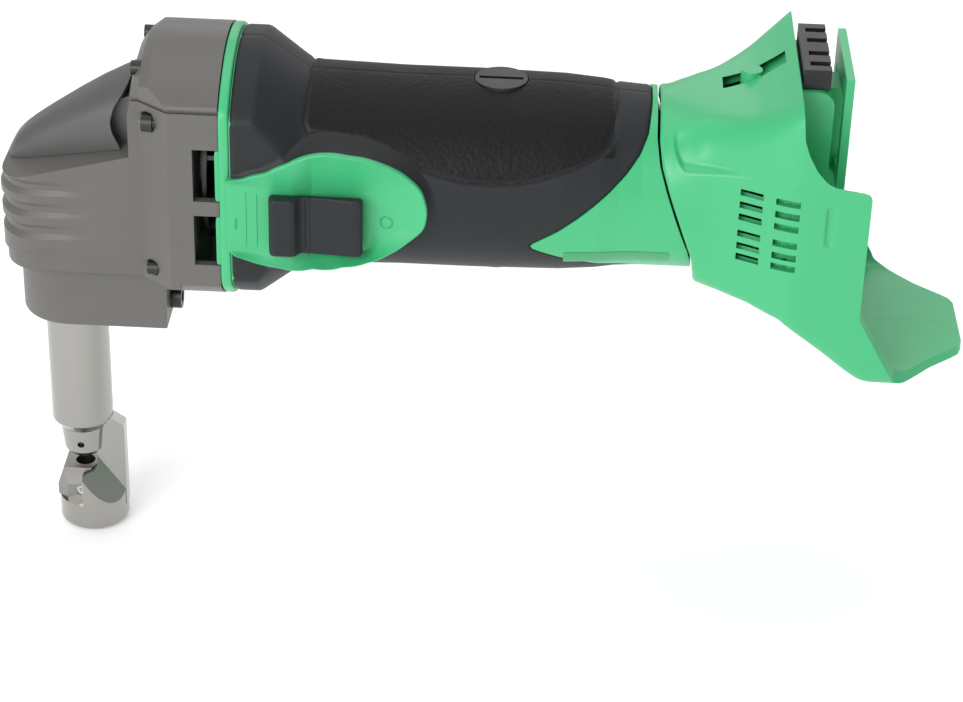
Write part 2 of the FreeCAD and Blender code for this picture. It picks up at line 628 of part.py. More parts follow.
def die_screws():
    """Two screws up through the foot and two side set screws."""
    pieces = []
    for y in (-4.4, 4.4):
        pieces.append(rod_z(1.28, DIE_FOOT - 4.6, DIE_FOOT + 3.2, -4.6, y))
    for side in (-1.0, 1.0):
        near, far = 4.75 * side, 7.0 * side
        screw = rod_y(1.86, min(near, far), max(near, far), -0.5, -127.2)
        tip = rod_y(0.95, min(5.6 * side, 9.0 * side), max(5.6 * side, 9.0 * side), -0.5, -127.2)
        pieces.append(screw.cut(tip))
    return Part.makeCompound(pieces)


# ---------------------------------------------------------------- bezel and switch

def surround_outline():
    """(x, z) outline of the switch surround: narrow behind the bezel, then a long lobe."""
    upper = [(55.0, 8.5), (60.5, 8.6), (68.7, 11.3), (75.0, 14.6), (81.3, 17.6), (93.8, 17.9), (103.5, 16.0),
             (110.5, 12.8), (116.0, 7.8), (118.0, 1.2)]
    lower = [(117.2, -5.3), (112.5, -9.5), (106.4, -14.5), (99.4, -18.7), (96.0, -20.3), (82.7, -22.0),
             (72.0, -22.4), (67.2, -21.2), (61.8, -19.0), (58.3, -17.6), (55.0, -17.2)]
    return upper + lower


def bowl_outline():
    return [(88.0 + 0.9 * (x - 88.0), 0.86 * (z + 2.2) - 2.2) for x, z in surround_outline()[2:-4]]


def front_bezel():
    ring = rod_x(HEAD_R, BEZEL_X[0], BEZEL_X[1]).common(box(50.0, 70.0, -BEZEL_HALF, BEZEL_HALF, -60.0, 60.0))
    ring = ring.cut(rod_x(HEAD_R - 4.2, 50.0, 70.0).common(box(50.0, 70.0, 3.4 - BEZEL_HALF,
                                                               BEZEL_HALF - 3.4, -60.0, 60.0)))
    ring = ring.cut([rod_x(SCREW_R + 0.2, 50.0, 70.0, y, z) for y, z, head_r in SCREWS])
    dish = side_prism(surround_outline(), RIM_Y, -20.0)
    seat = turned_x([(50.0, 42.4)] + [(x, r + 0.1) for x, r in CORE_PROFILE])
    dish = dish.cut([flatted(seat, 32.4), box(50.0, 55.2, -60.0, 0.0, -60.0, 60.0)])
    bowl = side_prism(bowl_outline(), -45.0, BOWL_Y)
    slot = box(73.0, 93.0, -40.0, -20.0, -10.6, -0.6)
    run_in = box(62.2, 74.0, -45.0, BOWL_Y, KNOB_Z[0] - 0.8, KNOB_Z[1] + 0.8)
    tabs = []
    for z0, z1 in WINDOW_Z:
        for tab in both_sides(box(WINDOW_X[1], BEZEL_X[0] + 1, HEAD_FLAT - 3.2, HEAD_FLAT + 0.2,
                                  z0 + 0.2, z1 - 0.2)):
            tabs.append(tab)
    return join([ring, dish] + tabs).cut([bowl, slot, run_in])


def switch_knob():
    """Slide with a raised thumb pad at its front and a lower, gently rising rear."""
    foot = BOWL_Y - 0.4
    side_view = [(KNOB_X[0], foot), (KNOB_X[0] + 0.4, -38.0), (KNOB_X[0] + 2.0, -38.9),
                 (KNOB_X[0] + 7.4, -38.9),
                 (KNOB_X[0] + 8.6, -38.2), (KNOB_X[0] + 10.0, -35.8), (KNOB_X[0] + 12.5, -35.6),
                 (KNOB_X[1] - 1.6, -36.9), (KNOB_X[1], -36.0), (KNOB_X[1], foot)]
    cap = plan_prism(side_view, KNOB_Z[0], KNOB_Z[1])
    stem = box(80.0, 92.0, -32.6, -25.5, -9.1, -2.1)
    return join([cap, stem])


def switch_link():
    """Strip that carries the knob's movement back to the switch."""
    strip = box(92.0, 148.0, -26.3, -25.5, -5.5, -0.5)
    hook = box(146.0, 148.0, -26.3, -25.5, -5.5, 2.5)
    return join([strip, hook])


def switch_unit():
    body = box(129.0, 149.0, -24.9, -13.0, -9.0, 5.0)
    terminals = [box(149.0, 153.0, y - 0.4, y + 0.4, -7.0, -3.0) for y in (-21.0, -16.0)]
    return join([body] + terminals)


# ---------------------------------------------------------------- barrel

def flatted(shape, half):
    return shape.common(box(0.0, 300.0, -half, half, -60.0, 60.0))


def wedge_panels():
    wedge = side_prism(WEDGE, -60.0, 60.0)
    return wedge.common(turned_x(GRIP_PROFILE))


def cap_holes(r):
    return [rod_z(r, 20.0, 40.0, BRUSH_X), rod_z(r, -40.0, -20.0, BRUSH_X)]


def switch_window():
    return box(72.0, 94.0, -40.0, -20.0, -11.1, -0.1)


def before_parting():
    """Everything in front of the parting line, as a prism through the barrel."""
    return side_prism(PARTING + [(40.0, -60.0), (40.0, 60.0)], -60.0, 60.0)


def behind_parting():
    shifted = [(x + PARTING_GAP, z) for x, z in PARTING]
    return side_prism(shifted + [(320.0, -90.0), (320.0, 60.0)], -60.0, 60.0)


def motor_housing():
    core = flatted(turned_x(CORE_PROFILE), 32.3)
    core = join([core, wedge_panels()])
    core = core.cut(flatted(turned_x(BORE_PROFILE), 29.3))
    ribs = [tube_x(27.6, CAN_R + 0.05, x, x + 3.0) for x in (78.0, 120.0)]
    seat = tube_x(12.0, ROTOR_REAR[1] + 0.02, 149.6, 156.4)
    webs = []
    for step in range(4):
        web = box(150.0, 156.0, -1.5, 1.5, 11.0, 27.4)
        web.rotate(Vec(0, 0, 0), Vec(1, 0, 0), 45.0 + 90.0 * step)
        webs.append(web)
    bosses = []
    for y, z, head_r in SCREWS:
        bosses.append(rod_x(4.1, CORE_PROFILE[0][0], SCREW_END + 0.2, y, z))
    core = join([core] + ribs + [seat] + webs + bosses)
    cuts = cap_holes(CAP_R + 0.15) + [switch_window(), box(84.0, 149.2, -26.6, -25.2, -6.6, 3.0)]
    cuts += [rod_x(SCREW_R + 0.02, 50.0, SCREW_END, y, z) for y, z, head_r in SCREWS]
    return core.cut(cuts).common(before_parting())


def grip_overmold():
    skin = flatted(turned_x(GRIP_PROFILE), 33.0)
    core = flatted(turned_x(CORE_PROFILE + [(207.0, 26.6)]), 32.3)
    wedge = side_prism(WEDGE, -60.0, 60.0)
    opening = side_prism([(x + (0.4 if x > 90 else -0.4), z + (0.4 if z > -3 else -0.4)) for x,
                          z in surround_outline()],
                         -60.0, -18.0)
    cuts = [core, wedge, switch_window(), opening] + cap_holes(CAP_R + 0.15)
    return skin.cut(cuts).common(before_parting())


# ---------------------------------------------------------------- motor

def motor_can():
    return tube_x(CAN_R, MAGNET_R[1] + 0.05, CAN_X[0], CAN_X[1])


def motor_magnets():
    ring = tube_x(MAGNET_R[1], MAGNET_R[0], CAN_X[0] + 3, CAN_X[1] - 3)
    gap = box(70.0, 130.0, -30.0, 30.0, -5.0, 5.0)
    return ring.cut(gap)


def armature_shaft():
    profile = [(38.0, 3.0), (45.5, 3.0), (45.5, 4.0), (149.5, 4.0), (149.5, 3.5), (157.0, 3.5)]
    return turned_x(profile)


def armature_core():
    core = tube_x(CORE_R, 4.02, CORE_X[0], CORE_X[1])
    cuts = []
    for step in range(SLOTS):
        turn = 2 * math.pi * step / SLOTS
        cuts.append(rod_x(2.3, 70.0, 130.0, 12.8 * math.cos(turn), 12.8 * math.sin(turn)))
        mouth = box(70.0, 130.0, -0.6, 0.6, 12.0, 18.0)
        mouth.rotate(Vec(0, 0, 0), Vec(1, 0, 0), 360.0 * step / SLOTS - 90.0)
        cuts.append(mouth)
    return core.cut(cuts)


def windings():
    """Copper bars through the slots joined by the two end turns."""
    bars = []
    for step in range(SLOTS):
        turn = 2 * math.pi * step / SLOTS
        bars.append(rod_x(2.25, CORE_X[0] - 4, CORE_X[1] + 4, 12.8 * math.cos(turn), 12.8 * math.sin(turn)))
    front = turned_x([(71.0, 9.5), (72.5, 13.0), (75.5, 14.8), (CORE_X[0], 14.8)])
    rear = turned_x([(CORE_X[1], 14.8), (125.5, 14.8), (128.5, 13.0), (131.5, 9.5)])
    hole = rod_x(4.02, 60.0, 140.0)
    hollow = rod_x(10.5, CORE_X[0] - 0.01, CORE_X[1] + 0.01)
    return join([front, rear] + bars).cut([hole, hollow.common(rod_x(10.0, CORE_X[0], CORE_X[1]))])


def commutator():
    body = tube_x(COMM_R, 4.02, COMM_X[0], COMM_X[1])
    cuts = []
    for step in range(BARS):
        cut = box(COMM_X[0] - 1, COMM_X[1] + 1, -0.25, 0.25, COMM_R - 1.2, COMM_R + 1)
        cut.rotate(Vec(0, 0, 0), Vec(1, 0, 0), 360.0 * (step + 0.5) / BARS)
        cuts.append(cut)
    return body.cut(cuts)


def cooling_fan():
    hub = tube_x(8.0, 4.02, FAN_X[0], FAN_X[1])
    back = tube_x(FAN_R, 7.5, FAN_X[0], FAN_X[0] + 1.4)
    pieces = [hub, back]
    for step in range(BLADES):
        blade = box(FAN_X[0] + 1.0, FAN_X[1] - 0.6, -0.7, 0.7, 7.0, FAN_R - 0.6)
        blade.rotate(Vec(0, 0, 0), Vec(1, 0, 0), 360.0 * step / BLADES)
        pieces.append(blade)
    return join(pieces).cut(rod_x(4.02, 40.0, 60.0))


def brush_pair(maker):
    """A piece made for the top brush and its copy for the bottom one."""
    top = maker()
    bottom = top.copy()
    bottom.rotate(Vec(BRUSH_X, 0, 0), Vec(1, 0, 0), 180.0)
    return Part.makeCompound([top, bottom])


def one_holder():
    outer = box(BRUSH_X - 5.0, BRUSH_X + 5.0, -4.0, 4.0, 12.6, 26.0)
    inner = box(BRUSH_X - 4.05, BRUSH_X + 4.05, -3.05, 3.05, 12.0, 28.0)
    return outer.cut(inner)


def one_brush():
    block = box(BRUSH_X - 4.0, BRUSH_X + 4.0, -3.0, 3.0, COMM_R - 1.0, 19.0)
    return block.cut(rod_x(COMM_R + 0.06, 120.0, 160.0))


def one_spring():
    """Coil spring pressing the brush down, built as a wire swept along a helix."""
    coil = Part.makeHelix(1.6, 7.4, 2.2)
    start = Vec(2.2, 0, 0)
    wire = Part.Wire(Part.makeCircle(0.4, start, Vec(0, 1, 0.116)))
    spring = Part.Wire(coil).makePipeShell([wire], True, True)
    spring.translate(Vec(BRUSH_X, 0, 19.45))
    return spring


def one_cap():
    cap = rod_z(CAP_R, 28.4, 31.9, BRUSH_X).fuse(rod_z(3.0, 27.4, 29.0, BRUSH_X))
    slot = box(BRUSH_X - 7.0, BRUSH_X + 7.0, -0.9, 0.9, 30.4, 33.0)
    return cap.cut(slot).removeSplitter()


# ---------------------------------------------------------------- tail

def rounded_section(x, half, top, bottom, corner):
    """Closed wire of four lines and four arcs in the plane at x."""
    r = min(corner, half - 0.3, (top - bottom) / 2 - 0.3)
    bend = r * math.sqrt(0.5)
    edges = []
    corners = [(half - r, top - r, 90.0), (r - half, top - r, 180.0), (r - half, bottom + r, 270.0),
               (half - r, bottom + r, 0.0)]
    for index, (y, z, _) in enumerate(corners):
        sy = 1.0 if y > 0 else -1.0
        sz = 1.0 if index < 2 else -1.0
        flat_end = Vec(x, y, z + sz * r)
        wall_end = Vec(x, y + sy * r, z)
        middle = Vec(x, y + sy * bend, z + sz * bend)
        first, last = (wall_end, flat_end) if index in (0, 2) else (flat_end, wall_end)
        if edges:
            edges.append(Part.makeLine(edges[-1].Vertexes[-1].Point, first))
        edges.append(Part.Arc(first, middle, last).toShape())
    edges.append(Part.makeLine(edges[-1].Vertexes[-1].Point, edges[0].Vertexes[0].Point))
    return Part.Wire(edges)


def tail_solid(inset):
    wires = []
    for x, half, top, bottom, corner in TAIL:
        wires.append(rounded_section(x, half - inset, top - inset, bottom + inset, max(corner - inset, 1.0)))
    return Part.makeLoft(wires, True, True)


def tail_vents():
    """Two columns of six slots through each side wall."""
    slots = []
    for row in TAIL_VENT_ROWS:
        for x0, x1 in TAIL_VENT_X:
            slots.append(box(x0, x1, -60.0, 60.0, row - TAIL_VENT_HALF, row + TAIL_VENT_HALF))
    return slots


def tail_shells():
    outer = tail_solid(0.0)
    inner = tail_solid(TAIL_WALL)
    bulkhead = box(228.6, 231.6, -37.0, 37.0, -29.0, 38.0)
    body = outer.cut(inner.cut(bulkhead)).common(behind_parting())
    wings = []
    for sign in (-1.0, 1.0):
        lo, hi = sorted((sign * WING_Y[0], sign * WING_Y[1]))
        wings.append(side_prism(WING, lo, hi))
    floor = side_prism(FLOOR, -WING_Y[1], WING_Y[1])
    plan = TONGUE + [(x, -y) for x, y in reversed(TONGUE)]
    tongue = plan_prism(plan, TONGUE_Z[0], TONGUE_Z[1])
    body = join([body, floor, tongue] + wings)
    posts = []
    for x, z in TAIL_SCREWS:
        posts.append(rod_y(4.0, -40.0, 40.0, x, z).common(outer))
    body = join([body] + posts)
    cuts = tail_vents()
    for x, z in TAIL_SCREWS:
        cuts.append(rod_y(1.6, -20.0, 60.0, x, z))
        cuts.append(rod_y(3.2, 18.0, 60.0, x, z))
    cuts.append(box(233.0, 242.0, -18.3, 18.3, 20.0, 60.0))
    return body.cut(cuts)


def tail_screws():
    screws = []
    for x, z in TAIL_SCREWS:
        head = rod_y(3.0, 18.0, 20.6, x, z)
        head = head.cut(rod_y(1.3, 19.2, 22.0, x, z))
        screws.append(head.fuse(rod_y(1.5, -18.0, 18.5, x, z)).removeSplitter())
    return Part.makeCompound(screws)


def battery_mount():
    """Green block between the wings that carries the terminal block and the rail plate."""
    core = box(231.8, 243.0, -20.0, 20.0, -26.0, 40.4)
    core = rounded_edges(core, 5.0,
                         lambda e: e.BoundBox.ZLength < 0.1 and e.BoundBox.XMin > 242.9 and e.BoundBox.ZMax > 30)
    leg = box(242.0, 246.0, -6.0, 6.0, -26.0, 36.0)
    return join([core, leg])


def battery_rail():
    plate = box(246.0, 248.6, -20.0, 20.0, 7.0, 45.0)
    slot = box(245.0, 250.0, -14.0, 14.0, 12.0, 36.0)
    return plate.cut(slot).fuse(box(246.0, 248.6, -6.0, 6.0, 7.0, 45.0)).removeSplitter()


def terminal_block():
    body = box(233.0, 241.5, -18.0, 18.0, 40.4, 47.0)
    cuts = [box(235.0, 243.0, y - 1.6, y + 1.6, 42.0, 48.0) for y in (-13.0, -5.0, 5.0, 13.0)]
    return body.cut(cuts)


def terminal_blades():
    blades = [box(235.0, 240.6, y - 0.5, y + 0.5, 42.0, 46.2) for y in (-13.0, -5.0, 5.0, 13.0)]
    return Part.makeCompound(blades)


def control_board():
    board = box(195.0, 226.0, -16.0, 16.0, -10.8, -9.2)
    parts = [box(198.0, 206.0, -12.0, -4.0, -9.3, -3.0), box(210.0, 221.0, -10.0, 8.0, -9.3, -5.6)]
    caps = [rod_z(3.2, -9.3, 1.5, 203.0, 8.0)]
    return join([board] + parts + caps)


# ---------------------------------------------------------------- write everything

NODES = {
    "gear_case": gear_case,
    "nose_cover": nose_cover,
    "head_screws": head_screws,
    "top_plugs": top_plugs,
    "holder_block": holder_block,
    "holder_lock_bolts": holder_lock_bolts,
    "motor_pinion": motor_pinion,
    "drive_gear": drive_gear,
    "crank_shaft": crank_shaft,
    "crank_roller": crank_roller,
    "crank_bearing_front_ring": lambda: bearing_outer(CRANK_FRONT),
    "crank_bearing_front_balls": lambda: bearing_inner(CRANK_FRONT),
    "crank_bearing_rear_ring": lambda: bearing_outer(CRANK_REAR),
    "crank_bearing_rear_balls": lambda: bearing_inner(CRANK_REAR),
    "rotor_bearing_front_ring": lambda: bearing_outer(ROTOR_FRONT),
    "rotor_bearing_front_balls": lambda: bearing_inner(ROTOR_FRONT),
    "rotor_bearing_rear_ring": lambda: bearing_outer(ROTOR_REAR),
    "rotor_bearing_rear_balls": lambda: bearing_inner(ROTOR_REAR),
    "bearing_plate": bearing_plate,
    "ram": ram,
    "punch": punch,
    "punch_screw": punch_screw,
    "ram_bush": ram_bush,
    "die_holder": die_holder,
    "die": die,
    "die_screws": die_screws,
    "front_bezel": front_bezel,
    "switch_knob": switch_knob,
    "switch_link": switch_link,
    "switch_unit": switch_unit,
    "motor_housing": motor_housing,
    "grip_overmold": grip_overmold,
    "motor_can": motor_can,
    "motor_magnets": motor_magnets,
    "armature_shaft": armature_shaft,
    "armature_core": armature_core,
    "windings": windings,
    "commutator": commutator,
    "cooling_fan": cooling_fan,
    "brush_holders": lambda: brush_pair(one_holder),
    "carbon_brushes": lambda: brush_pair(one_brush),
    "brush_springs": lambda: brush_pair(one_spring),
    "brush_caps": lambda: brush_pair(one_cap),
    "tail_screws": tail_screws,
    "battery_mount": battery_mount,
    "battery_rail": battery_rail,
    "terminal_block": terminal_block,
    "terminal_blades": terminal_blades,
    "control_board": control_board,
}

os.makedirs("parts", exist_ok=True)
for node, maker in NODES.items():
    save(node, maker())

shells = tail_shells()
save("tail_shell_left", shells.common(box(180.0, 300.0, -60.0, 0.0, -90.0, 90.0)))
save("tail_shell_right", shells.common(box(180.0, 300.0, 0.0, 60.0, -90.0, 90.0)))
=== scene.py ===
"""Looks of a hand-held cordless nibbler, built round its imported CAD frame."""
import math

import bpy
import numpy as np
from bpy.props import FloatProperty, PointerProperty, StringProperty
from mathutils import Matrix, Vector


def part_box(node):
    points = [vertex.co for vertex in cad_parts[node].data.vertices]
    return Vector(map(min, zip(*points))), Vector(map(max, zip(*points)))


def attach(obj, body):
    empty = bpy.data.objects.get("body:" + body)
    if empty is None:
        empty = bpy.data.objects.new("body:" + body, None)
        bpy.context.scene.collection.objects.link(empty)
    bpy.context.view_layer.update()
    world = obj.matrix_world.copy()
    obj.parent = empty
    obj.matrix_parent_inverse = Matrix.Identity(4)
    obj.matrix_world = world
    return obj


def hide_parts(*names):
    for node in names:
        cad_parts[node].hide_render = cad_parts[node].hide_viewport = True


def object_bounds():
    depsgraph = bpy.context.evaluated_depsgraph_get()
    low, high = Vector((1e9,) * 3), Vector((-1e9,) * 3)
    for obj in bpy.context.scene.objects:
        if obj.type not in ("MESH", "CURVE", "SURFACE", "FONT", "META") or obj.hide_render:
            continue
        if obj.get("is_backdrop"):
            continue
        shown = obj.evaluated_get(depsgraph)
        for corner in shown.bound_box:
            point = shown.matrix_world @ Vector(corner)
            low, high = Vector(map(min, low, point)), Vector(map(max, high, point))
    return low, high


bl_info = {
    "name": "Nibbler looks",
    "version": (1, 0, 0),
    "blender": (4, 5, 0),
    "location": "View3D > Sidebar > Nibbler",
    "description": "Builds the outer shells, finishes and studio of a hand-held nibbler",
    "category": "Object",
}

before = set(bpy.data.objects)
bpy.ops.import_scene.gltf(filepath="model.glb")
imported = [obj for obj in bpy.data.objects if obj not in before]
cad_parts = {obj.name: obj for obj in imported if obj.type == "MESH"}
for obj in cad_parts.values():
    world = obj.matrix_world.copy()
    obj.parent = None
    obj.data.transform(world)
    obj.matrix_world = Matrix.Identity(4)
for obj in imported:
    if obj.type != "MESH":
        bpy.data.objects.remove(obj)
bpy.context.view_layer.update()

MM = 0.001
_can_low, _can_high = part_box("motor_can")
AXIS_Z = (_can_low.z + _can_high.z) / 2        # height of the barrel axis in the frame
ROOT = "housing"

# Studio: camera angles in degrees, its distance, aim and shift in millimetres.
CAMERA_AZIMUTH, CAMERA_ELEVATION, CAMERA_ROLL = 1.66, 30.30, 1.74
CAMERA_DISTANCE = 868.0
CAMERA_AIM_X = 136.0
CAMERA_SHIFT = (2.0, 59.2)
SENSOR_WIDTH = 36.0
LENS = 100.59813
WORLD_LIGHT = 0.52
# Lights aim at the middle of the grip, metres along x: name, place, size and watts of each.
LIGHT_AIM_X = 0.13
LIGHTS = (("top_soft", (0.05, 0.30, 1.3), (1.4, 1.0), 5.0),
          ("front_left", (-0.6, -1.3, 0.75), (1.2, 0.9), 18.0),
          ("rear_edge", (0.4, 1.2, 0.7), (1.6, 0.5), 3.0))

# Barrel axis at z = 0 from here on, millimetres: (x, radius) and (x, z) lines that follow the shells.
GRIP_LINE = [(50.0, 42.9), (64.2, 42.9), (65.2, 42.4), (76.0, 34.7), (78.2, 33.3), (81.5, 32.7),
             (108.0, 32.0), (134.0, 32.0), (160.0, 31.5), (172.0, 30.5), (178.0, 29.5), (185.0, 29.0),
             (210.0, 29.0)]
PARTING = [(189.2, 40.0), (189.2, 22.0), (190.4, 15.0), (193.1, 7.0), (197.2, -4.5), (200.6, -14.0),
           (202.2, -21.0), (202.8, -40.0)]
WEDGE_TOP = [(187.3, 34.0), (187.3, 28.5), (186.2, 22.5), (183.7, 17.6), (179.7, 12.4), (174.7, 7.2),
             (169.7, 2.6), (164.7, -1.8), (158.7, -6.6), (154.7, -9.3), (151.7, -11.4), (150.6, -12.7)]
WEDGE_LOW = [(150.9, -13.4), (154.0, -15.1), (160.0, -17.6), (172.0, -22.0), (190.0, -25.6), (206.0, -27.6),
             (206.0, -34.0)]
PANEL_EDGE = [(79.3, 92.0), (79.0, 60.0), (79.2, 46.0), (80.5, 41.2), (88.0, 40.4), (97.0, 39.0),
              (104.0, 34.6), (110.0, 29.0), (116.0, 24.2), (122.0, 20.6), (131.0, 17.2), (139.0, 16.8),
              (147.0, 18.0), (153.0, 20.4), (159.0, 24.0), (165.0, 28.4), (171.0, 34.4), (174.2, 41.0),
              (175.7, 50.0), (176.2, 65.0), (176.2, 92.0)]
RIM = [(55.6, 8.5), (60.5, 8.6), (68.7, 11.3), (75.0, 14.6), (81.3, 17.6), (93.8, 17.9), (103.5, 16.0),
       (110.5, 12.8), (116.0, 7.8), (118.0, 1.2), (117.2, -5.3), (112.5, -9.8), (106.4, -14.5), (99.4, -17.9),
       (92.0, -19.6), (82.7, -20.6), (72.0, -20.8), (67.2, -20.1), (61.8, -18.5), (58.3, -17.4),
       (55.6, -17.0)]
SWITCH_X = 84.0
SWITCH_Z = -5.6
GRIP_START = 56.9
BRUSH_X = 139.5
DULL_SHINE = 0.25            # soft black plastics reflect less than the default half
PAPER_GLOW = 0.22            # keeps the floor white under the low, frontal light
TAIL_WIDTH = [(186.0, 29.1), (192.0, 29.2), (200.0, 29.9), (206.0, 30.6), (211.0, 32.0), (216.0, 34.2),
              (220.0, 36.2), (227.0, 39.8), (232.0, 41.7), (236.0, 42.0), (300.0, 42.0)]
TAIL_TOP = [(186.0, 29.1), (194.0, 29.1), (200.0, 29.5), (206.0, 30.2), (211.0, 31.3), (216.0, 33.0),
            (220.0, 34.9), (227.0, 39.6), (232.0, 43.8), (240.0, 50.0), (256.0, 58.0), (300.0, 60.0)]
TAIL_LOW = [(186.0, 29.1), (200.0, 28.9), (211.0, 28.4), (220.0, 28.8), (230.0, 31.0), (243.0, 40.6),
            (253.0, 48.6), (257.0, 51.3), (260.0, 52.0), (300.0, 52.0)]
TAIL_POWER = [(186.0, 2.0), (193.0, 2.1), (200.0, 3.0), (206.0, 4.4), (211.0, 6.0), (220.0, 9.0),
              (232.0, 14.0), (300.0, 18.0)]
WING_EDGE = [(267.5, -60.0), (267.5, -49.0), (255.0, -27.0), (255.0, 15.5), (254.0, 17.4), (244.5, 18.4),
             (241.0, 20.2), (237.6, 24.0), (234.8, 29.0), (233.0, 34.0), (232.0, 44.0), (231.8, 60.0)]
TONGUE_EDGE = [(292.5, 0.0), (292.5, 13.5), (291.2, 16.8), (288.6, 19.4), (281.0, 26.2), (274.0, 34.4),
               (267.5, 42.0), (266.0, 50.0)]
VENT_X = ((215.3, 222.3), (226.0, 233.4))
VENT_Z = (12.2, 7.9, 3.7, -2.0, -6.3, -10.1)
COVER_TOP = [(-18.4, -0.8), (-18.2, 1.6), (-16.4, 5.2), (-13.5, 8.2), (-10.7, 10.4), (-5.0, 14.4),
             (4.4, 20.5), (12.0, 25.0), (22.0, 30.0), (26.0, 31.6)]


# ------------------------------------------------------------------ numbers and grids

def eased(line, at, blur=0.0):
    """Broken line read at the given places, averaged over a window of plus or minus blur."""
    xs, ys = np.array(line).T
    order = np.argsort(xs, kind="stable")
    offsets = np.linspace(-blur, blur, 9 if blur else 1)
    return np.mean([np.interp(at + o, xs[order], ys[order]) for o in offsets], axis=0)


def smooth_step(low, high, value):
    """0 below low, 1 above high, with a cubic in between."""
    t = np.clip((value - low) / (high - low), 0.0, 1.0)
    return t * t * (3 - 2 * t)


def distance_to_line(line, x, y):
    """Shortest distance from each point to a broken line, segment by segment."""
    best = np.full(x.shape, 1e9)
    for (xa, ya), (xb, yb) in zip(line[:-1], line[1:]):
        dx, dy = xb - xa, yb - ya
        along = np.clip(((x - xa) * dx + (y - ya) * dy) / (dx * dx + dy * dy), 0.0, 1.0)
        best = np.minimum(best, np.hypot(x - xa - along * dx, y - ya - along * dy))
    return best


def grid_faces(rows, columns, wrap_rows=False, wrap_columns=False):
    """Quads of a grid whose vertices are numbered row by row."""
    r = np.arange(rows if wrap_rows else rows - 1)[:, None]
    c = np.arange(columns if wrap_columns else columns - 1)[None, :]
    r2, c2 = (r + 1) % rows, (c + 1) % columns
    corners = [r * columns + c, r2 * columns + c, r2 * columns + c2, r * columns + c2]
    return np.stack(np.broadcast_arrays(*corners), -1).reshape(-1, 4)


def closed_tube(grid):
    """Grid closed both ways: a profile loop carried round a closed path."""
    return grid.reshape(-1, 3), grid_faces(*grid.shape[:2], True, True).tolist()


def thick_sheet(outer, inner):
    """Two like grids joined round their borders into one closed wall."""
    rows, columns = outer.shape[:2]
    faces = grid_faces(rows, columns)
    count = rows * columns
    index = np.arange(count).reshape(rows, columns)
    rim = np.concatenate([index[0, :-1], index[:-1, -1], index[-1, :0:-1], index[:0:-1, 0]])
    following = np.roll(rim, -1)
    border = np.stack([rim, rim + count, following + count, following], -1)
    points = np.concatenate([outer.reshape(-1, 3), inner.reshape(-1, 3)])
    return points, np.concatenate([faces, faces[:, ::-1] + count, border]).tolist()


def capped_rings(grid):
    """Rings of points closed at both ends by a fan on the ring's middle."""
    rings, around = grid.shape[:2]
    faces = grid_faces(rings, around, False, True).tolist()
    count = rings * around
    points = np.concatenate([grid.reshape(-1, 3), grid[0].mean(0)[None], grid[-1].mean(0)[None]])
    step = np.arange(around)
    following, last = (step + 1) % around, count - around
    first_cap = np.stack([following, 0 * step + count, step], -1)
    last_cap = np.stack([last + step, 0 * step + count + 1, last + following], -1)
    return points, faces + np.stack([first_cap, last_cap], 1).reshape(-1, 3).tolist()


def super_round(angle, power):
    """Unit superellipse: cosine and sine raised to 2/power with their signs kept."""
    c, s = np.cos(angle), np.sin(angle)
    return np.sign(c) * np.abs(c) ** (2 / power), np.sign(s) * np.abs(s) ** (2 / power)


def soft_block(centre, half, power=6.0, rings=20, around=48):
    """Rounded block: a superellipsoid with the given half sizes and power."""
    lat = np.linspace(-0.5 * np.pi, 0.5 * np.pi, rings + 2)[1:-1, None]
    lon = np.linspace(0.0, 2 * np.pi, around, endpoint=False)[None, :]
    c_lat, s_lat = super_round(lat, power)
    c_lon, s_lon = super_round(lon, power)
    grid = np.stack([centre[0] + half[0] * c_lat * c_lon, centre[1] + half[1] * s_lat + 0 * lon,
                     centre[2] + half[2] * c_lat * s_lon], -1)
    return capped_rings(grid)


def merged(parts):
    """Several (points, faces) pairs as one."""
    points, faces, start = [], [], 0
    for part_points, part_faces in parts:
        points.append(part_points)
        faces += [[v + start for v in face] for face in part_faces]
        start += len(part_points)
    return np.concatenate(points), faces


def volume_of(points, faces):
    """Signed volume of a closed mesh, positive when its faces point outwards."""
    total = 0.0
    for corners in (3, 4):
        chosen = np.array([f for f in faces if len(f) == corners])
        if len(chosen):
            for k in range(1, corners - 1):
                a, b, c = points[chosen[:, 0]], points[chosen[:, k]], points[chosen[:, k + 1]]
                total += np.einsum("ij,ij->", a, np.cross(b, c)) / 6
    return total


def outward(part):
    """The same part with its faces turned outwards."""
    points, faces = part
    if volume_of(points, faces) < 0:
        faces = [list(reversed(face)) for face in faces]
    return points, faces


def mesh_of(name, parts):
    """Mesh in the frame's metres from closed parts in millimetres about the barrel axis."""
    points, faces = merged([outward(part) for part in parts])
    mesh = bpy.data.meshes.new(name)
    mesh.from_pydata((points * MM + np.array([0.0, 0.0, AXIS_Z])).tolist(), [], faces)
    return mesh


def place(name, parts, material, body, replaced=(), sharp=35.0, cutter=None, attribute=None):
    """Make the piece from closed parts, cut it if asked, and tell the frame what it rides on."""
    mesh = mesh_of(name, parts)
    if attribute is not None:
        layer = mesh.attributes.new(attribute[0], "FLOAT", "POINT")
        layer.data.foreach_set("value", attribute[1].astype(np.float32))
    piece = bpy.data.objects.new(name, mesh)
    bpy.context.scene.collection.objects.link(piece)
    if cutter is not None:
        cut_away(piece, cutter)
    piece.data.materials.clear()
    piece.data.materials.append(material)
    piece.data.shade_smooth()
    piece.data.set_sharp_from_angle(angle=math.radians(sharp))
    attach(piece, body)
    if replaced:
        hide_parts(*replaced)
    return piece


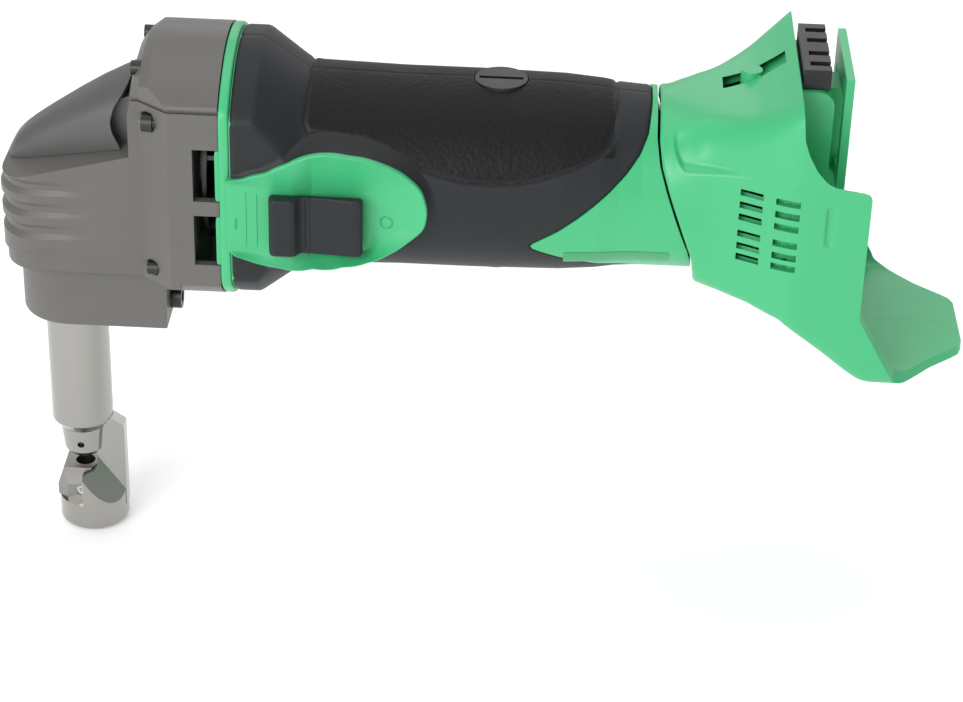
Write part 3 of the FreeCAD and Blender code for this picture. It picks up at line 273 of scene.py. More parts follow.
def cut_away(piece, cutter_parts):
    """Boolean difference, with its result kept as the piece's mesh."""
    mesh = mesh_of("cutter", cutter_parts)
    cutter = bpy.data.objects.new("cutter", mesh)
    bpy.context.scene.collection.objects.link(cutter)
    modifier = piece.modifiers.new("cut", "BOOLEAN")
    modifier.operation = "DIFFERENCE"
    modifier.solver = "EXACT"
    modifier.object = cutter
    bpy.context.view_layer.update()
    seen = piece.evaluated_get(bpy.context.evaluated_depsgraph_get())
    result = bpy.data.meshes.new_from_object(seen)
    piece.modifiers.clear()
    old = piece.data
    piece.data = result
    bpy.data.meshes.remove(old)
    bpy.data.objects.remove(cutter)
    bpy.data.meshes.remove(mesh)


def block(x0, x1, y0, y1, z0, z1):
    """Plain closed box for cutting."""
    points = np.array([(x, y, z) for x in (x0, x1) for y in (y0, y1) for z in (z0, z1)], float)
    faces = [[0, 1, 3, 2], [4, 6, 7, 5], [0, 4, 5, 1], [2, 3, 7, 6], [0, 2, 6, 4], [1, 5, 7, 3]]
    return points, faces


def rod(axis, radius, low, high, centre, around=64):
    """Closed cylinder for cutting or turning; axis 0, 1 or 2, centre in the other two."""
    angle = np.linspace(0.0, 2 * np.pi, around, endpoint=False)
    a, b = centre[0] + radius * np.cos(angle), centre[1] + radius * np.sin(angle)
    rings = []
    for end in (low, high):
        columns = [a, b]
        columns.insert(axis, np.full(around, float(end)))
        rings.append(np.stack(columns, -1))
    return capped_rings(np.stack(rings))


# ------------------------------------------------------------------ finishes

def linear(code):
    """sRGB hex to linear colour."""
    parts = [int(code[i:i + 2], 16) / 255 for i in (1, 3, 5)]
    return tuple(p / 12.92 if p <= 0.04045 else ((p + 0.055) / 1.055) ** 2.4 for p in parts) + (1.0,)


def add(tree, kind, values=None, links=None, **settings):
    """Add one node with its settings, socket values and links."""
    made = tree.nodes.new(kind)
    for key, value in settings.items():
        setattr(made, key, value)
    for key, value in (values or {}).items():
        made.inputs[key].default_value = value
    for key, socket in (links or {}).items():
        tree.links.new(socket, made.inputs[key])
    return made


def finish_of(name, code, rough, metallic=0.0, mottle=0.12, mottle_mm=9.0, grain_mm=0.6, grain=0.12,
              pebble_mm=0.0, pebble=0.0, stretch=(1.0, 1.0, 1.0), coat=0.0, rough_swing=0.06, mask=None,
              mask_rough=0.0, mask_code=None):
    """One procedural surface: colour mottle, roughness swing and two layers of relief.

    Sizes are real ones in millimetres; Object coordinates are metres, so a scale is 1000 / size.
    mask names a point attribute that fades the pebble relief in.
    """
    material = bpy.data.materials.new(name)
    material.use_nodes = True
    tree = material.node_tree
    tree.nodes.clear()
    out = add(tree, "ShaderNodeOutputMaterial")
    shader = add(tree, "ShaderNodeBsdfPrincipled", {"Metallic": metallic, "Coat Weight": coat})
    place_ = add(tree, "ShaderNodeTexCoord")
    mapping = add(tree, "ShaderNodeMapping", {"Scale": stretch}, {"Vector": place_.outputs["Object"]})
    cloud = add(tree, "ShaderNodeTexNoise", {"Scale": 1000 / mottle_mm, "Detail": 4.0},
                {"Vector": mapping.outputs[0]})
    base = linear(code)
    dark = tuple(c * (1 - mottle) for c in base[:3]) + (1.0,)
    light = tuple(min(1.0, c * (1 + mottle)) for c in base[:3]) + (1.0,)
    ramp = add(tree, "ShaderNodeMix", {6: dark, 7: light}, {0: cloud.outputs["Fac"]}, data_type="RGBA")
    colour = ramp.outputs[2]
    swing = add(tree, "ShaderNodeMapRange", {"To Min": rough - rough_swing, "To Max": rough + rough_swing},
                {"Value": cloud.outputs["Fac"]})
    roughness = swing.outputs[0]
    fine = add(tree, "ShaderNodeTexNoise", {"Scale": 1000 / grain_mm, "Detail": 3.0},
               {"Vector": mapping.outputs[0]})
    relief = add(tree, "ShaderNodeBump", {"Strength": grain, "Distance": 0.0001},
                 {"Height": fine.outputs["Fac"]})
    if pebble:
        cells = add(tree, "ShaderNodeTexVoronoi", {"Scale": 1000 / pebble_mm}, {"Vector": mapping.outputs[0]},
                    feature="SMOOTH_F1")
        strength = add(tree, "ShaderNodeMath", {1: pebble}, operation="MULTIPLY")
        if mask:
            held = add(tree, "ShaderNodeAttribute", attribute_name=mask)
            tree.links.new(held.outputs["Fac"], strength.inputs[0])
            if mask_code:
                tint = add(tree, "ShaderNodeMix", {7: linear(mask_code)}, {0: held.outputs["Fac"], 6: colour},
                           data_type="RGBA")
                colour = tint.outputs[2]
            rougher = add(tree, "ShaderNodeMath", {1: mask_rough}, {0: held.outputs["Fac"]},
                          operation="MULTIPLY")
            total = add(tree, "ShaderNodeMath", None, {0: roughness, 1: rougher.outputs[0]}, operation="ADD")
            roughness = total.outputs[0]
        else:
            strength.inputs[0].default_value = 1.0
        relief = add(tree, "ShaderNodeBump", {"Distance": 0.00035},
                     {"Height": cells.outputs["Distance"], "Strength": strength.outputs[0],
                      "Normal": relief.outputs[0]}, invert=True)
    tree.links.new(colour, shader.inputs["Base Color"])
    tree.links.new(roughness, shader.inputs["Roughness"])
    tree.links.new(relief.outputs[0], shader.inputs["Normal"])
    tree.links.new(shader.outputs[0], out.inputs["Surface"])
    return material


MADE = {}


def make_finishes(paint):
    """All materials, each named for its real stuff and how its surface was made."""
    # Zinc alloy casting under satin powder coat: fine orange peel, soft sheen.
    MADE["case"] = finish_of("powder-coated casting", paint.case, 0.42, mottle=0.05, grain_mm=0.9, grain=0.25)
    # Glass-filled nylon moulding: even satin with a very fine spark texture.
    MADE["cover"] = finish_of("glass-filled nylon moulding", paint.cover, 0.40, mottle=0.05, grain_mm=0.5,
         grain=0.15)
    # Green ABS moulding, spark-eroded tool: satin with a soft broad highlight.
    MADE["green"] = finish_of("spark-textured ABS", paint.green, 0.36, mottle=0.04, mottle_mm=22.0,
         grain_mm=0.5, grain=0.16)
    # The same ABS from a polished tool insert, a shade deeper.
    MADE["badge"] = finish_of("polished ABS insert", paint.badge, 0.25, mottle=0.03, grain_mm=0.8, grain=0.04)
    # Soft thermoplastic elastomer: pebbled in the palm panel, smooth and slightly lighter round it.
    MADE["rubber"] = finish_of("moulded elastomer", paint.rubber, 0.50, mottle=0.10, mottle_mm=14.0,
         grain_mm=0.7, grain=0.12, pebble_mm=1.3, pebble=0.55, mask="pebble", mask_rough=0.06,
         mask_code=paint.panel)
    # Black acetal: smooth moulding with a low gloss.
    MADE["knob"] = finish_of("moulded acetal", paint.knob, 0.42, mottle=0.06, grain_mm=0.5, grain=0.10)
    MADE["black"] = finish_of("black nylon moulding", "#1b1c1d", 0.45, mottle=0.08, grain_mm=0.6, grain=0.12)
    # Nickel-plated steel tube: polished along its length, so reflections run in streaks.
    MADE["plated"] = finish_of("polished nickel plate", "#a3a19d", 0.20, metallic=1.0, mottle=0.03,
         mottle_mm=6.0, grain_mm=0.25, grain=0.05, stretch=(1.0, 1.0, 0.06), rough_swing=0.03)
    # Hardened tool steel, surface ground: fine parallel scratches.
    MADE["tool"] = finish_of("ground tool steel", "#908e8a", 0.34, metallic=1.0, mottle=0.06, mottle_mm=5.0,
                             grain_mm=0.3, grain=0.18, stretch=(0.12, 1.0, 1.0))
    MADE["zinc"] = finish_of("zinc-plated steel", "#c9cacb", 0.28, metallic=1.0, mottle=0.08, mottle_mm=3.0)
    # Dark steel fasteners with a dull sheen; the dark colour is partly painted shade, standing for the shaded
    # pockets the head screws sit in.
    MADE["dark_steel_and_shade"] = finish_of("dark steel with painted shade", "#444342", 0.40, metallic=1.0, mottle=0.10,
         mottle_mm=2.0)
    MADE["bearing"] = finish_of("polished bearing steel", "#c4c4c2", 0.20, metallic=1.0, mottle=0.03,
         grain=0.03)
    MADE["laminate"] = finish_of("stacked lamination steel", "#8d8b88", 0.42, metallic=1.0, mottle=0.10,
                                 grain_mm=0.7, grain=0.40, stretch=(1.0, 0.03, 0.03))
    MADE["bronze"] = finish_of("sintered bronze", "#9a6b3a", 0.45, metallic=1.0, mottle=0.15, mottle_mm=1.0)
    MADE["brass"] = finish_of("bright brass", "#c9a45a", 0.25, metallic=1.0, mottle=0.06)
    MADE["alloy"] = finish_of("die-cast alloy", "#a9a9a8", 0.48, metallic=1.0, mottle=0.08, grain_mm=0.8,
         grain=0.3)
    MADE["ferrite"] = finish_of("sintered ferrite", "#2b2b2c", 0.60, mottle=0.15, grain_mm=0.4, grain=0.3)
    MADE["copper"] = finish_of("enamelled copper wire", "#a8552c", 0.30, metallic=1.0, mottle=0.12,
         grain_mm=0.6, grain=0.6, stretch=(0.05, 1.0, 1.0))
    MADE["carbon"] = finish_of("pressed carbon", "#222223", 0.55, mottle=0.15, grain_mm=0.3, grain=0.2)
    MADE["spring"] = finish_of("drawn spring wire", "#a5a19a", 0.30, metallic=1.0)
    MADE["board"] = finish_of("solder-masked laminate", "#1f5a38", 0.35, mottle=0.15, mottle_mm=3.0)
    for key in ("rubber", "knob"):
        shader = next(n for n in MADE[key].node_tree.nodes if n.type == "BSDF_PRINCIPLED")
        shader.inputs["Specular IOR Level"].default_value = DULL_SHINE


CARRIED = {
    "case": ("gear_case", "holder_block"),
    "green": ("motor_housing", "battery_mount", "battery_rail"),
    "black": ("switch_unit", "terminal_block", "brush_caps", "cooling_fan", "switch_link"),
    "plated": ("die_holder",),
    "tool": ("punch", "die", "ram", "crank_shaft", "crank_roller", "drive_gear", "motor_pinion",
             "armature_shaft"),
    "zinc": ("die_screws", "punch_screw", "tail_screws"),
    # The fasteners' dark colour is partly painted shade from the pockets the head screws sit in.
    "dark_steel_and_shade": ("head_screws", "top_plugs", "holder_lock_bolts"),
    "bearing": ("crank_bearing_front_ring", "crank_bearing_front_balls", "crank_bearing_rear_ring",
                "crank_bearing_rear_balls", "rotor_bearing_front_ring", "rotor_bearing_front_balls",
                "rotor_bearing_rear_ring", "rotor_bearing_rear_balls", "motor_can"),
    "laminate": ("armature_core",),
    "bronze": ("ram_bush",),
    "brass": ("brush_holders", "terminal_blades"),
    "alloy": ("bearing_plate",),
    "ferrite": ("motor_magnets",),
    "copper": ("windings", "commutator"),
    "carbon": ("carbon_brushes",),
    "spring": ("brush_springs",),
    "board": ("control_board",),
}


# ------------------------------------------------------------------ shells

def grip_radius(x, around):
    """Radius of the grip at x and angle from the top: the turned line, cut flat on the flange's sides."""
    turned = eased(GRIP_LINE, x, 0.5)
    flat = 33.0 / np.maximum(np.abs(np.sin(around)), 1e-3)
    return -np.log(np.exp(-turned / 0.7) + np.exp(-flat / 0.7)) * 0.7


def grip_end(z):
    """Rear edge of the grip at height z: the wedge's two lines, then the parting line."""
    top = eased([(z_, x_) for x_, z_ in WEDGE_TOP], z, 0.5)
    low = eased([(z_, x_) for x_, z_ in WEDGE_LOW], z, 0.3)
    parting = eased([(z_, x_) for x_, z_ in PARTING], z)
    tip = WEDGE_TOP[-1][1]
    return np.minimum(np.where(z > tip, top, low), parting - 0.1)


def grip_part(sizes):
    """Grip skin: rings along x, each a circle with the flange's flats.

    The outer skin runs forwards to back, turns round the rear edge and comes back along its
    underside, so every column is a closed loop.  Grooves are pressed in by a bell curve of the
    distance to their line, measured along the skin.
    """
    around = np.linspace(-np.pi, np.pi, 420, endpoint=False)[None, :]
    end = grip_end(30.0 * np.cos(around))
    for _ in range(4):
        end = grip_end(eased(GRIP_LINE, end, 0.5) * np.cos(around))
    run = np.linspace(0.0, 1.0, 205)[:, None]
    x = GRIP_START + (end - GRIP_START) * run
    radius = grip_radius(x, around)
    rise = 90.0 - np.degrees(np.abs(around)) + 0 * x
    scale = np.radians(1.0) * 32.0
    line = [(px, angle * scale) for px, angle in PANEL_EDGE]
    near = distance_to_line(line, x, rise * scale)
    radius = radius - sizes.groove_depth * np.exp(-(near / (0.5 * sizes.groove_width)) ** 2)
    crest = np.abs(around) * 32.0
    off_brush = np.abs(x - BRUSH_X) >= 9.0
    radius = radius - 0.22 * np.exp(-(crest / 0.55) ** 2) * off_brush
    edge = 0.7 * (1 - smooth_step(0.0, 0.9, end - x)) + 0.7 * (1 - smooth_step(0.0, 0.9, x - GRIP_START))
    radius = radius - edge
    outer = np.stack([x, radius * np.sin(around), radius * np.cos(around)], -1)
    inner_x = x[::-6]
    inner_r = np.minimum(grip_radius(inner_x, around) - 1.9, 42.0)
    inner = np.stack([inner_x, inner_r * np.sin(around), inner_r * np.cos(around)], -1)
    grid = np.concatenate([outer, inner])
    inside = (rise > eased(PANEL_EDGE[3:-4], x)) & (x > 79.3) & (x < 176.2)
    mask = smooth_step(0.4, 1.4, near) * inside
    weights = np.concatenate([mask, np.zeros(inner.shape[:2])]).ravel()
    return closed_tube(grid), weights


def skin_depth(x, z):
    """How far out in y the grip's side lies at (x, z)."""
    radius = eased(GRIP_LINE, x, 0.5)
    return np.minimum(np.sqrt(np.maximum(radius ** 2 - z ** 2, 100.0)), 33.0)


def rim_reach(turn):
    """Distance from the switch's middle to the rim in each direction, eased over a few degrees."""
    line = np.array(RIM) - (SWITCH_X, SWITCH_Z)
    angles, reach = np.arctan2(line[:, 1], line[:, 0]), np.hypot(line[:, 0], line[:, 1])
    offsets = np.linspace(-0.05, 0.05, 7)
    return np.mean([np.interp(turn + o, angles, reach, period=2 * np.pi) for o in offsets], axis=0)


def rounded_reach(turn, half_x, half_z, power=8.0):
    """Distance to a rounded rectangle in each direction."""
    return (np.abs(np.cos(turn) / half_x) ** power + np.abs(np.sin(turn) / half_z) ** power) ** (-1 / power)


def dish_depth(share, x, front):
    """Depth of the dish from the axis plane: a floor, then a wall that rises to the rim."""
    floor = np.interp(x, [70.0, 76.0, 82.0], [33.05, 32.6, 29.9])
    rim = 35.1 * (1 - front) + 33.05 * front
    return floor + (rim - floor) * np.clip(share, 0.0, 1.0) ** 1.6


def dish_frame():
    """Directions round the switch with the reach of slot, floor and rim, and the open front's weight."""
    turn = np.linspace(0.0, 2 * np.pi, 260, endpoint=False)[None, :]
    slot = rounded_reach(turn, 9.6, 4.6)
    half_x = np.where(np.cos(turn) < 0, 60.0, 16.6)
    floor = rounded_reach(turn, half_x, 11.3)
    outer = rim_reach(turn)
    front = smooth_step(2.66, 2.74, turn) * (1 - smooth_step(3.52, 3.60, turn))
    floor = np.minimum(floor, outer - 1.6)
    return turn, slot, floor, outer, front


def surround_part():
    """Switch surround: rows carried round the switch, from the slot over floor and wall to the rim.

    A row lies at a share of the way from floor edge to rim; past the rim it rounds over and drops
    to just under the grip's skin, and comes back below.
    """
    turn, slot, floor, outer, front = dish_frame()
    walls = np.linspace(0.0, 1.0, 26)[:, None]
    reach = [slot, slot, slot + 0.3] + [slot + (floor - slot) * k for k in (0.35, 0.7)]
    reach = np.concatenate([np.array(reach).reshape(5, -1), floor + (outer - floor) * walls])
    x = SWITCH_X + reach * np.cos(turn)
    share = np.concatenate([np.zeros((5, 1)), walls]) + 0 * turn
    depth = dish_depth(share, x, front)
    depth[0] = 27.5
    depth[1] = depth[1] - 0.5
    over = np.array([(0.22, 0.02), (0.42, 0.14), (0.58, 0.4), (0.66, 0.9), (0.7, 1.6)])
    out_reach = outer + over[:, :1]
    out_depth = depth[-1:] - over[:, 1:]
    reach = np.concatenate([reach, out_reach, outer + 0.7])
    x = np.maximum(SWITCH_X + reach * np.cos(turn), 55.4)
    z = SWITCH_Z + reach * np.sin(turn)
    foot = np.minimum(skin_depth(x[-1:], z[-1:]) - 1.2, 31.0)
    depth = np.concatenate([depth, out_depth, foot])
    return closed_tube(np.stack([x, -depth, z], -1))


def rim_plug():
    """Prism of the rim's outline, drawn in a little, that opens the grip's skin over the dish."""
    turn = np.linspace(0.0, 2 * np.pi, 130, endpoint=False)[None, :]
    reach = rim_reach(turn) - 0.5
    y = np.array([[-45.0], [-20.0]])
    x, z = SWITCH_X + reach * np.cos(turn), SWITCH_Z + reach * np.sin(turn)
    return capped_rings(np.stack([x + 0 * y, y + 0 * turn, z + 0 * y], -1))


def collar_part():
    """Rubber shoulder outside the rim, easing down to the grip over a few millimetres."""
    turn, _, _, outer, front = dish_frame()
    share = np.linspace(0.0, 1.0, 12)[:, None]
    reach = outer + 0.55 + 3.0 * share
    x, z = np.maximum(SWITCH_X + reach * np.cos(turn), 57.2), SWITCH_Z + reach * np.sin(turn)
    skin = skin_depth(x, z)
    lift = np.maximum(34.3 - skin, 0.0) * (1 - front)
    depth = skin - 0.25 - 0.6 * front + (lift - 0.1) * (1 - share) ** 1.7
    under = np.minimum(skin[::-4], depth[::-4]) - 1.6
    x2, z2 = x[::-4], z[::-4]
    grid = np.concatenate([np.stack([x, -depth, z], -1), np.stack([x2, -under, z2], -1)])
    return closed_tube(grid)


def d_path(turn, radius, half, blend=0.8):
    """Distance from the axis to a circle with two flat sides, blended at the corners."""
    flat = half / np.maximum(np.abs(np.sin(turn)), 1e-3)
    return -np.log(np.exp(-radius / blend) + np.exp(-flat / blend)) * blend


def ring_part():
    """Green ring between head and grip: a rounded strip carried round the D-shaped path."""
    turn = np.linspace(-np.pi, np.pi, 240, endpoint=False)[None, :]
    bend = np.linspace(0.0, 2 * np.pi, 28, endpoint=False)[:, None]
    along, out = super_round(bend, 5.0)
    radius = d_path(turn, 43.75, 32.5) - 1.9 + 1.9 * out
    x = 54.85 + 1.62 * along + 0 * turn
    return closed_tube(np.stack([x, radius * np.sin(turn), radius * np.cos(turn)], -1))


def bezel_parts():
    """Ring, window tabs, the ribs in front of the slider and the switch surround."""
    parts = [ring_part(), surround_part()]
    for side in (-1.0, 1.0):
        for low, high in ((-0.8, 16.8), (-23.3, -6.2)):
            half = (1.65, 1.7, (high - low) / 2)
            parts.append(soft_block((53.4, side * 29.5, (low + high) / 2), half, 9.0))
    for x in (61.2, 64.6):
        parts.append(soft_block((x, -32.6, SWITCH_Z), (0.55, 0.72, 9.6), 8.0))
    return parts


def mark_parts():
    """Generic on and off marks: a bar on the neck, a small ring behind the slider."""
    bar = soft_block((58.4, -33.0, SWITCH_Z - 1.5), (0.4, 0.25, 2.0), 4.0)
    turn = np.linspace(0.0, 2 * np.pi, 36, endpoint=False)[None, :]
    bend = np.linspace(0.0, 2 * np.pi, 12, endpoint=False)[:, None]
    radius = 1.9 + 0.3 * np.cos(bend)
    x, z = 105.6 + radius * np.cos(turn), SWITCH_Z + radius * np.sin(turn)
    direction, reach = np.arctan2(z - SWITCH_Z, x - SWITCH_X), np.hypot(x - SWITCH_X, z - SWITCH_Z)
    floor = rounded_reach(direction, 16.6, 11.3)
    share = (reach - floor) / (rim_reach(direction) - floor)
    depth = dish_depth(share, x, 0.0)
    return [bar, closed_tube(np.stack([x, -depth - 0.22 * np.sin(bend), z], -1))]


def knob_part():
    """Slider: rounded-rectangle sections along x; raised thumb pad in front, low rear that rises gently."""
    face = [(69.0, 35.2), (69.3, 37.4), (70.2, 38.5), (71.4, 38.75), (76.2, 38.75), (77.3, 38.2),
            (78.2, 36.6), (79.2, 35.3), (80.2, 35.0), (80.9, 35.5), (81.6, 35.5), (82.2, 35.1), (83.0, 35.3),
            (95.6, 36.6), (97.2, 36.5), (98.0, 36.0), (98.4, 35.0)]
    x = np.concatenate([[69.0], np.linspace(69.02, 98.38, 110), [98.4]])[:, None]
    top = eased(face, x, 0.12)
    ends = np.clip(np.minimum(x - 68.9, 98.5 - x) / 1.4, 0.0, 1.0)
    half = 9.9 * (1.0 - 0.1 * (1 - ends) ** 2)
    turn = np.linspace(0.0, 2 * np.pi, 72, endpoint=False)[None, :]
    across, up = super_round(turn, 9.0)
    base = 33.45
    middle = (top + base) / 2
    y = -(middle + (top - base) / 2 * up)
    z = SWITCH_Z + half * across
    return capped_rings(np.stack([x + 0 * turn, y, z], -1))


def cover_part():
    """Nose cover: superellipse arches along x, set on the sloping ledge of the gear case.

    Half width, crown and the rear edge's cut-back are read from short lines.
    """
    run = np.linspace(0.0, 1.0, 80)[:, None] ** 1.4
    arch = np.linspace(0.0, np.pi, 101)[None, :]
    cut_back = [(0.0, 20.0), (0.12, 18.8), (0.3, 17.2), (0.5, 16.6), (0.7, 17.8), (0.88, 21.0), (1.0, 22.9)]

    def sheet(inset):
        across, up = super_round(arch, 3.2)
        rear = eased(cut_back, up, 0.05)
        x = -18.3 + inset + (rear + 18.3 - inset) * run
        base = -0.55 + (x + 16.6) * 0.252
        crown = eased(COVER_TOP, x, 0.8) - inset
        nose = np.sqrt(np.clip(1 - ((np.minimum(x, -8.0) + 8.0) / 10.6) ** 2, 0.0, 1.0))
        half = (11.3 + 0.235 * x) * (0.5 + 0.5 * nose) - inset
        return np.stack([x, half * across, base + np.maximum(crown - base, 0.25) * up], -1)

    return thick_sheet(sheet(0.0), sheet(1.6))


def tail_section(x, angle, inset=0.0):
    """Point of the tail's section at x in the direction angle from the top.

    The distance from the axis is the p-norm ray (|y/w|^p + |z/h|^p)^(-1/p), so the round front
    turns step by step into a box with sharp corners.
    """
    half = eased(TAIL_WIDTH, x, 1.6) - inset
    height = np.where(np.cos(angle) > 0, eased(TAIL_TOP, x, 1.6), eased(TAIL_LOW, x, 1.2)) - inset
    power = eased(TAIL_POWER, x, 1.5)
    s, c = np.abs(np.sin(angle)), np.abs(np.cos(angle))
    distance = ((s / half) ** power + (c / height) ** power) ** (-1 / power)
    return distance * np.sin(angle), distance * np.cos(angle)


def tail_end(angle):
    """Rear edge in each direction, found by halving: side walls follow the wing, the floor the tongue."""
    low, high = np.full(angle.shape, 200.0), np.full(angle.shape, 300.0)
    wing = [(z, x) for x, z in WING_EDGE]
    tongue = [(y, x) for x, y in TONGUE_EDGE]
    for _ in range(30):
        middle = (low + high) / 2
        y, z = tail_section(middle, angle)
        limit = eased(wing, z, 0.6)
        flat = smooth_step(-49.0, -51.5, z)
        limit = limit + (eased(tongue, np.abs(y), 0.5) - 267.5) * flat
        beyond = middle > limit
        high = np.where(beyond, middle, high)
        low = np.where(beyond, low, middle)
    return (low + high) / 2


def tail_relief(x, z):
    """Depth pressed into the side wall: a teardrop thumb hollow and a short upright dimple."""
    nose = smooth_step(193.6, 195.4, x - 0.055 * (z - 23.5) ** 2)
    under = smooth_step(0.0, 2.6, z - (14.8 + 0.10 * (x - 200.0)))
    over = 1 - smooth_step(28.0 + 0.28 * (x - 196.0), 31.0 + 0.30 * (x - 196.0), z)
    fade = 1 - smooth_step(204.0, 229.0, x)
    hollow = 2.2 * nose * under * over * fade
    upright = 0.9 * np.exp(-((x - 243.0) / 1.3) ** 4)
    upright = upright * smooth_step(-2.0, 0.0, z) * (1 - smooth_step(10.5, 12.5, z))
    return hollow + upright


def tail_half(side, sizes):
    """One clamshell: the section swept from the parting line to its own rear edge, with a wall inside."""
    angle = np.concatenate([np.linspace(0.0, 50.0, 60), np.linspace(50.6, 150.0, 130),
                            np.linspace(150.6, 180.0, 45)])[None, :]
    angle = np.radians(angle)
    end = tail_end(angle)
    start = np.full_like(end, 190.0)
    parting = [(z, x) for x, z in PARTING]
    for _ in range(6):
        start = eased(parting, tail_section(start, angle)[1]) + 0.9
    run = np.linspace(0.0, 1.0, 190)[:, None]
    x = start + (end - start) * run
    y, z = tail_section(x, angle)
    on_wall = smooth_step(0.55, 0.8, np.abs(y) / eased(TAIL_WIDTH, x, 1.6))
    lip = 0.5 * (1 - smooth_step(0.0, 0.8, x - start))
    y = y - tail_relief(x, z) * on_wall - lip * np.sin(angle)
    z = z - lip * np.cos(angle)
    y = np.maximum(y, 0.04 * np.sin(angle / 2 + 1e-3))
    outer = np.stack([x, side * y, z], -1)
    y_in, z_in = tail_section(x, angle, sizes.tail_wall)
    inner = np.stack([x, side * np.maximum(y_in, 0.03), z_in], -1)
    return thick_sheet(outer, inner)


def bulkhead_part(side):
    """Wall that closes the tail behind the battery mount, inset from the skin."""
    angle = np.radians(np.linspace(0.0, 180.0, 60))[None, :]
    share = np.linspace(0.02, 1.0, 12)[:, None]
    y, z = tail_section(np.full_like(angle, 229.5), angle, 2.2)
    front = np.stack([228.6 + 0 * share * y, side * np.maximum(share * y, 0.03), share * z], -1)
    return thick_sheet(front, front + np.array([2.2, 0.0, 0.0]))


def tail_cutters():
    """Vents through both side walls and two slots through the top."""
    cutters = []
    for x0, x1 in VENT_X:
        for row in VENT_Z:
            for y0, y1 in ((-60.0, -26.0), (26.0, 60.0)):
                cutters.append(block(x0, x1, y0, y1, row - 1.1, row + 1.1))
    cutters.append(block(209.7, 216.0, 1.0, 9.4, 20.0, 60.0))
    cutters.append(block(221.2, 228.8, 0.6, 9.4, 24.0, 60.0))
    return cutters


def badge_part():
    """Blank name panel: a patch that follows the barrel's side, a hair above the wedge."""
    x = np.linspace(161.5, 195.0, 60)[:, None]
    z = np.linspace(-20.2, -15.2, 14)[None, :]
    radius = eased(GRIP_LINE, x, 0.5)
    outer = np.stack([x + 0 * z, -np.sqrt((radius + 0.12) ** 2 - z ** 2), z + 0 * x], -1)
    inner = np.stack([x + 0 * z, -np.sqrt((radius - 0.5) ** 2 - z ** 2), z + 0 * x], -1)
    return thick_sheet(outer, inner)


# ------------------------------------------------------------------ add-on

class NibblerSizes(bpy.types.PropertyGroup):
    """Sizes in millimetres that change the look of the shells."""

    groove_width: FloatProperty(name="Groove width",
                                description="Width of the groove round the palm panel, in mm", default=1.3,
                                min=0.5, max=3.0)
    groove_depth: FloatProperty(name="Groove depth", description="Depth of that groove, in mm", default=0.75,
                                min=0.1, max=1.5)
    tail_wall: FloatProperty(name="Tail wall", description="Wall thickness of the tail shells, in mm",
                             default=2.8, min=1.5, max=4.0)
    floor_drop: FloatProperty(name="Floor gap", description="Gap between the lowest point and the floor",
                              default=0.0005, min=0.0, max=0.05, unit="LENGTH")


class NibblerColours(bpy.types.PropertyGroup):
    """sRGB colours of the visible finishes."""

    case: StringProperty(name="Casting", description="Powder coat of head and block", default="#5f5d5a")
    cover: StringProperty(name="Nose cover", description="Nose cover moulding", default="#515150")
    green: StringProperty(name="Housing", description="Green housing mouldings", default="#3fb377")
    badge: StringProperty(name="Name panel", description="Blank name panel", default="#2f9a62")
    rubber: StringProperty(name="Grip", description="Smooth parts of the grip", default="#25272a")
    panel: StringProperty(name="Palm panel", description="Pebbled palm panel", default="#0c0d0e")
    knob: StringProperty(name="Slider", description="Switch slider", default="#232629")


class NIBBLER_OT_finishes(bpy.types.Operator):
    """Make the materials and give every carried-over CAD node its own"""

    bl_idname = "nibbler.finishes"
    bl_label = "Finishes"

    def execute(self, context):
        make_finishes(context.scene.nibbler_colours)
        for key, names in CARRIED.items():
            for name in names:
                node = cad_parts[name]
                node.data.materials.clear()
                node.data.materials.append(MADE[key])
        return {"FINISHED"}


class NIBBLER_OT_grip(bpy.types.Operator):
    """Grip skin with its palm panel, grooves and brush openings"""

    bl_idname = "nibbler.grip"
    bl_label = "Grip"

    def execute(self, context):
        part, weights = grip_part(context.scene.nibbler_sizes)
        cutters = [rod(2, 8.75, 20.0, 40.0, (BRUSH_X, 0.0)), rod(2, 8.75, -40.0, -20.0, (BRUSH_X, 0.0)),
                   rim_plug()]
        place("grip_skin", [part], MADE["rubber"], ROOT, ("grip_overmold",), cutter=cutters,
              attribute=("pebble", weights))
        place("grip_shoulder", [collar_part()], MADE["rubber"], ROOT)
        return {"FINISHED"}


class NIBBLER_OT_bezel(bpy.types.Operator):
    """Green ring, window tabs and switch surround with its marks"""

    bl_idname = "nibbler.bezel"
    bl_label = "Bezel"

    def execute(self, context):
        place("switch_bezel", bezel_parts(), MADE["green"], ROOT, ("front_bezel",))
        place("switch_marks", mark_parts(), MADE["badge"], ROOT)
        return {"FINISHED"}


class NIBBLER_OT_slider(bpy.types.Operator):
    """Switch slider with its thumb ridge"""

    bl_idname = "nibbler.slider"
    bl_label = "Slider"

    def execute(self, context):
        stem = soft_block((86.0, -29.8, SWITCH_Z), (5.0, 4.2, 3.4), 12.0)
        place("switch_slider", [knob_part(), stem], MADE["knob"], "switch", ("switch_knob",))
        return {"FINISHED"}


class NIBBLER_OT_cover(bpy.types.Operator):
    """Nose cover over the crank"""

    bl_idname = "nibbler.cover"
    bl_label = "Nose cover"

    def execute(self, context):
        place("nose_shell", [cover_part()], MADE["cover"], ROOT, ("nose_cover",))
        return {"FINISHED"}


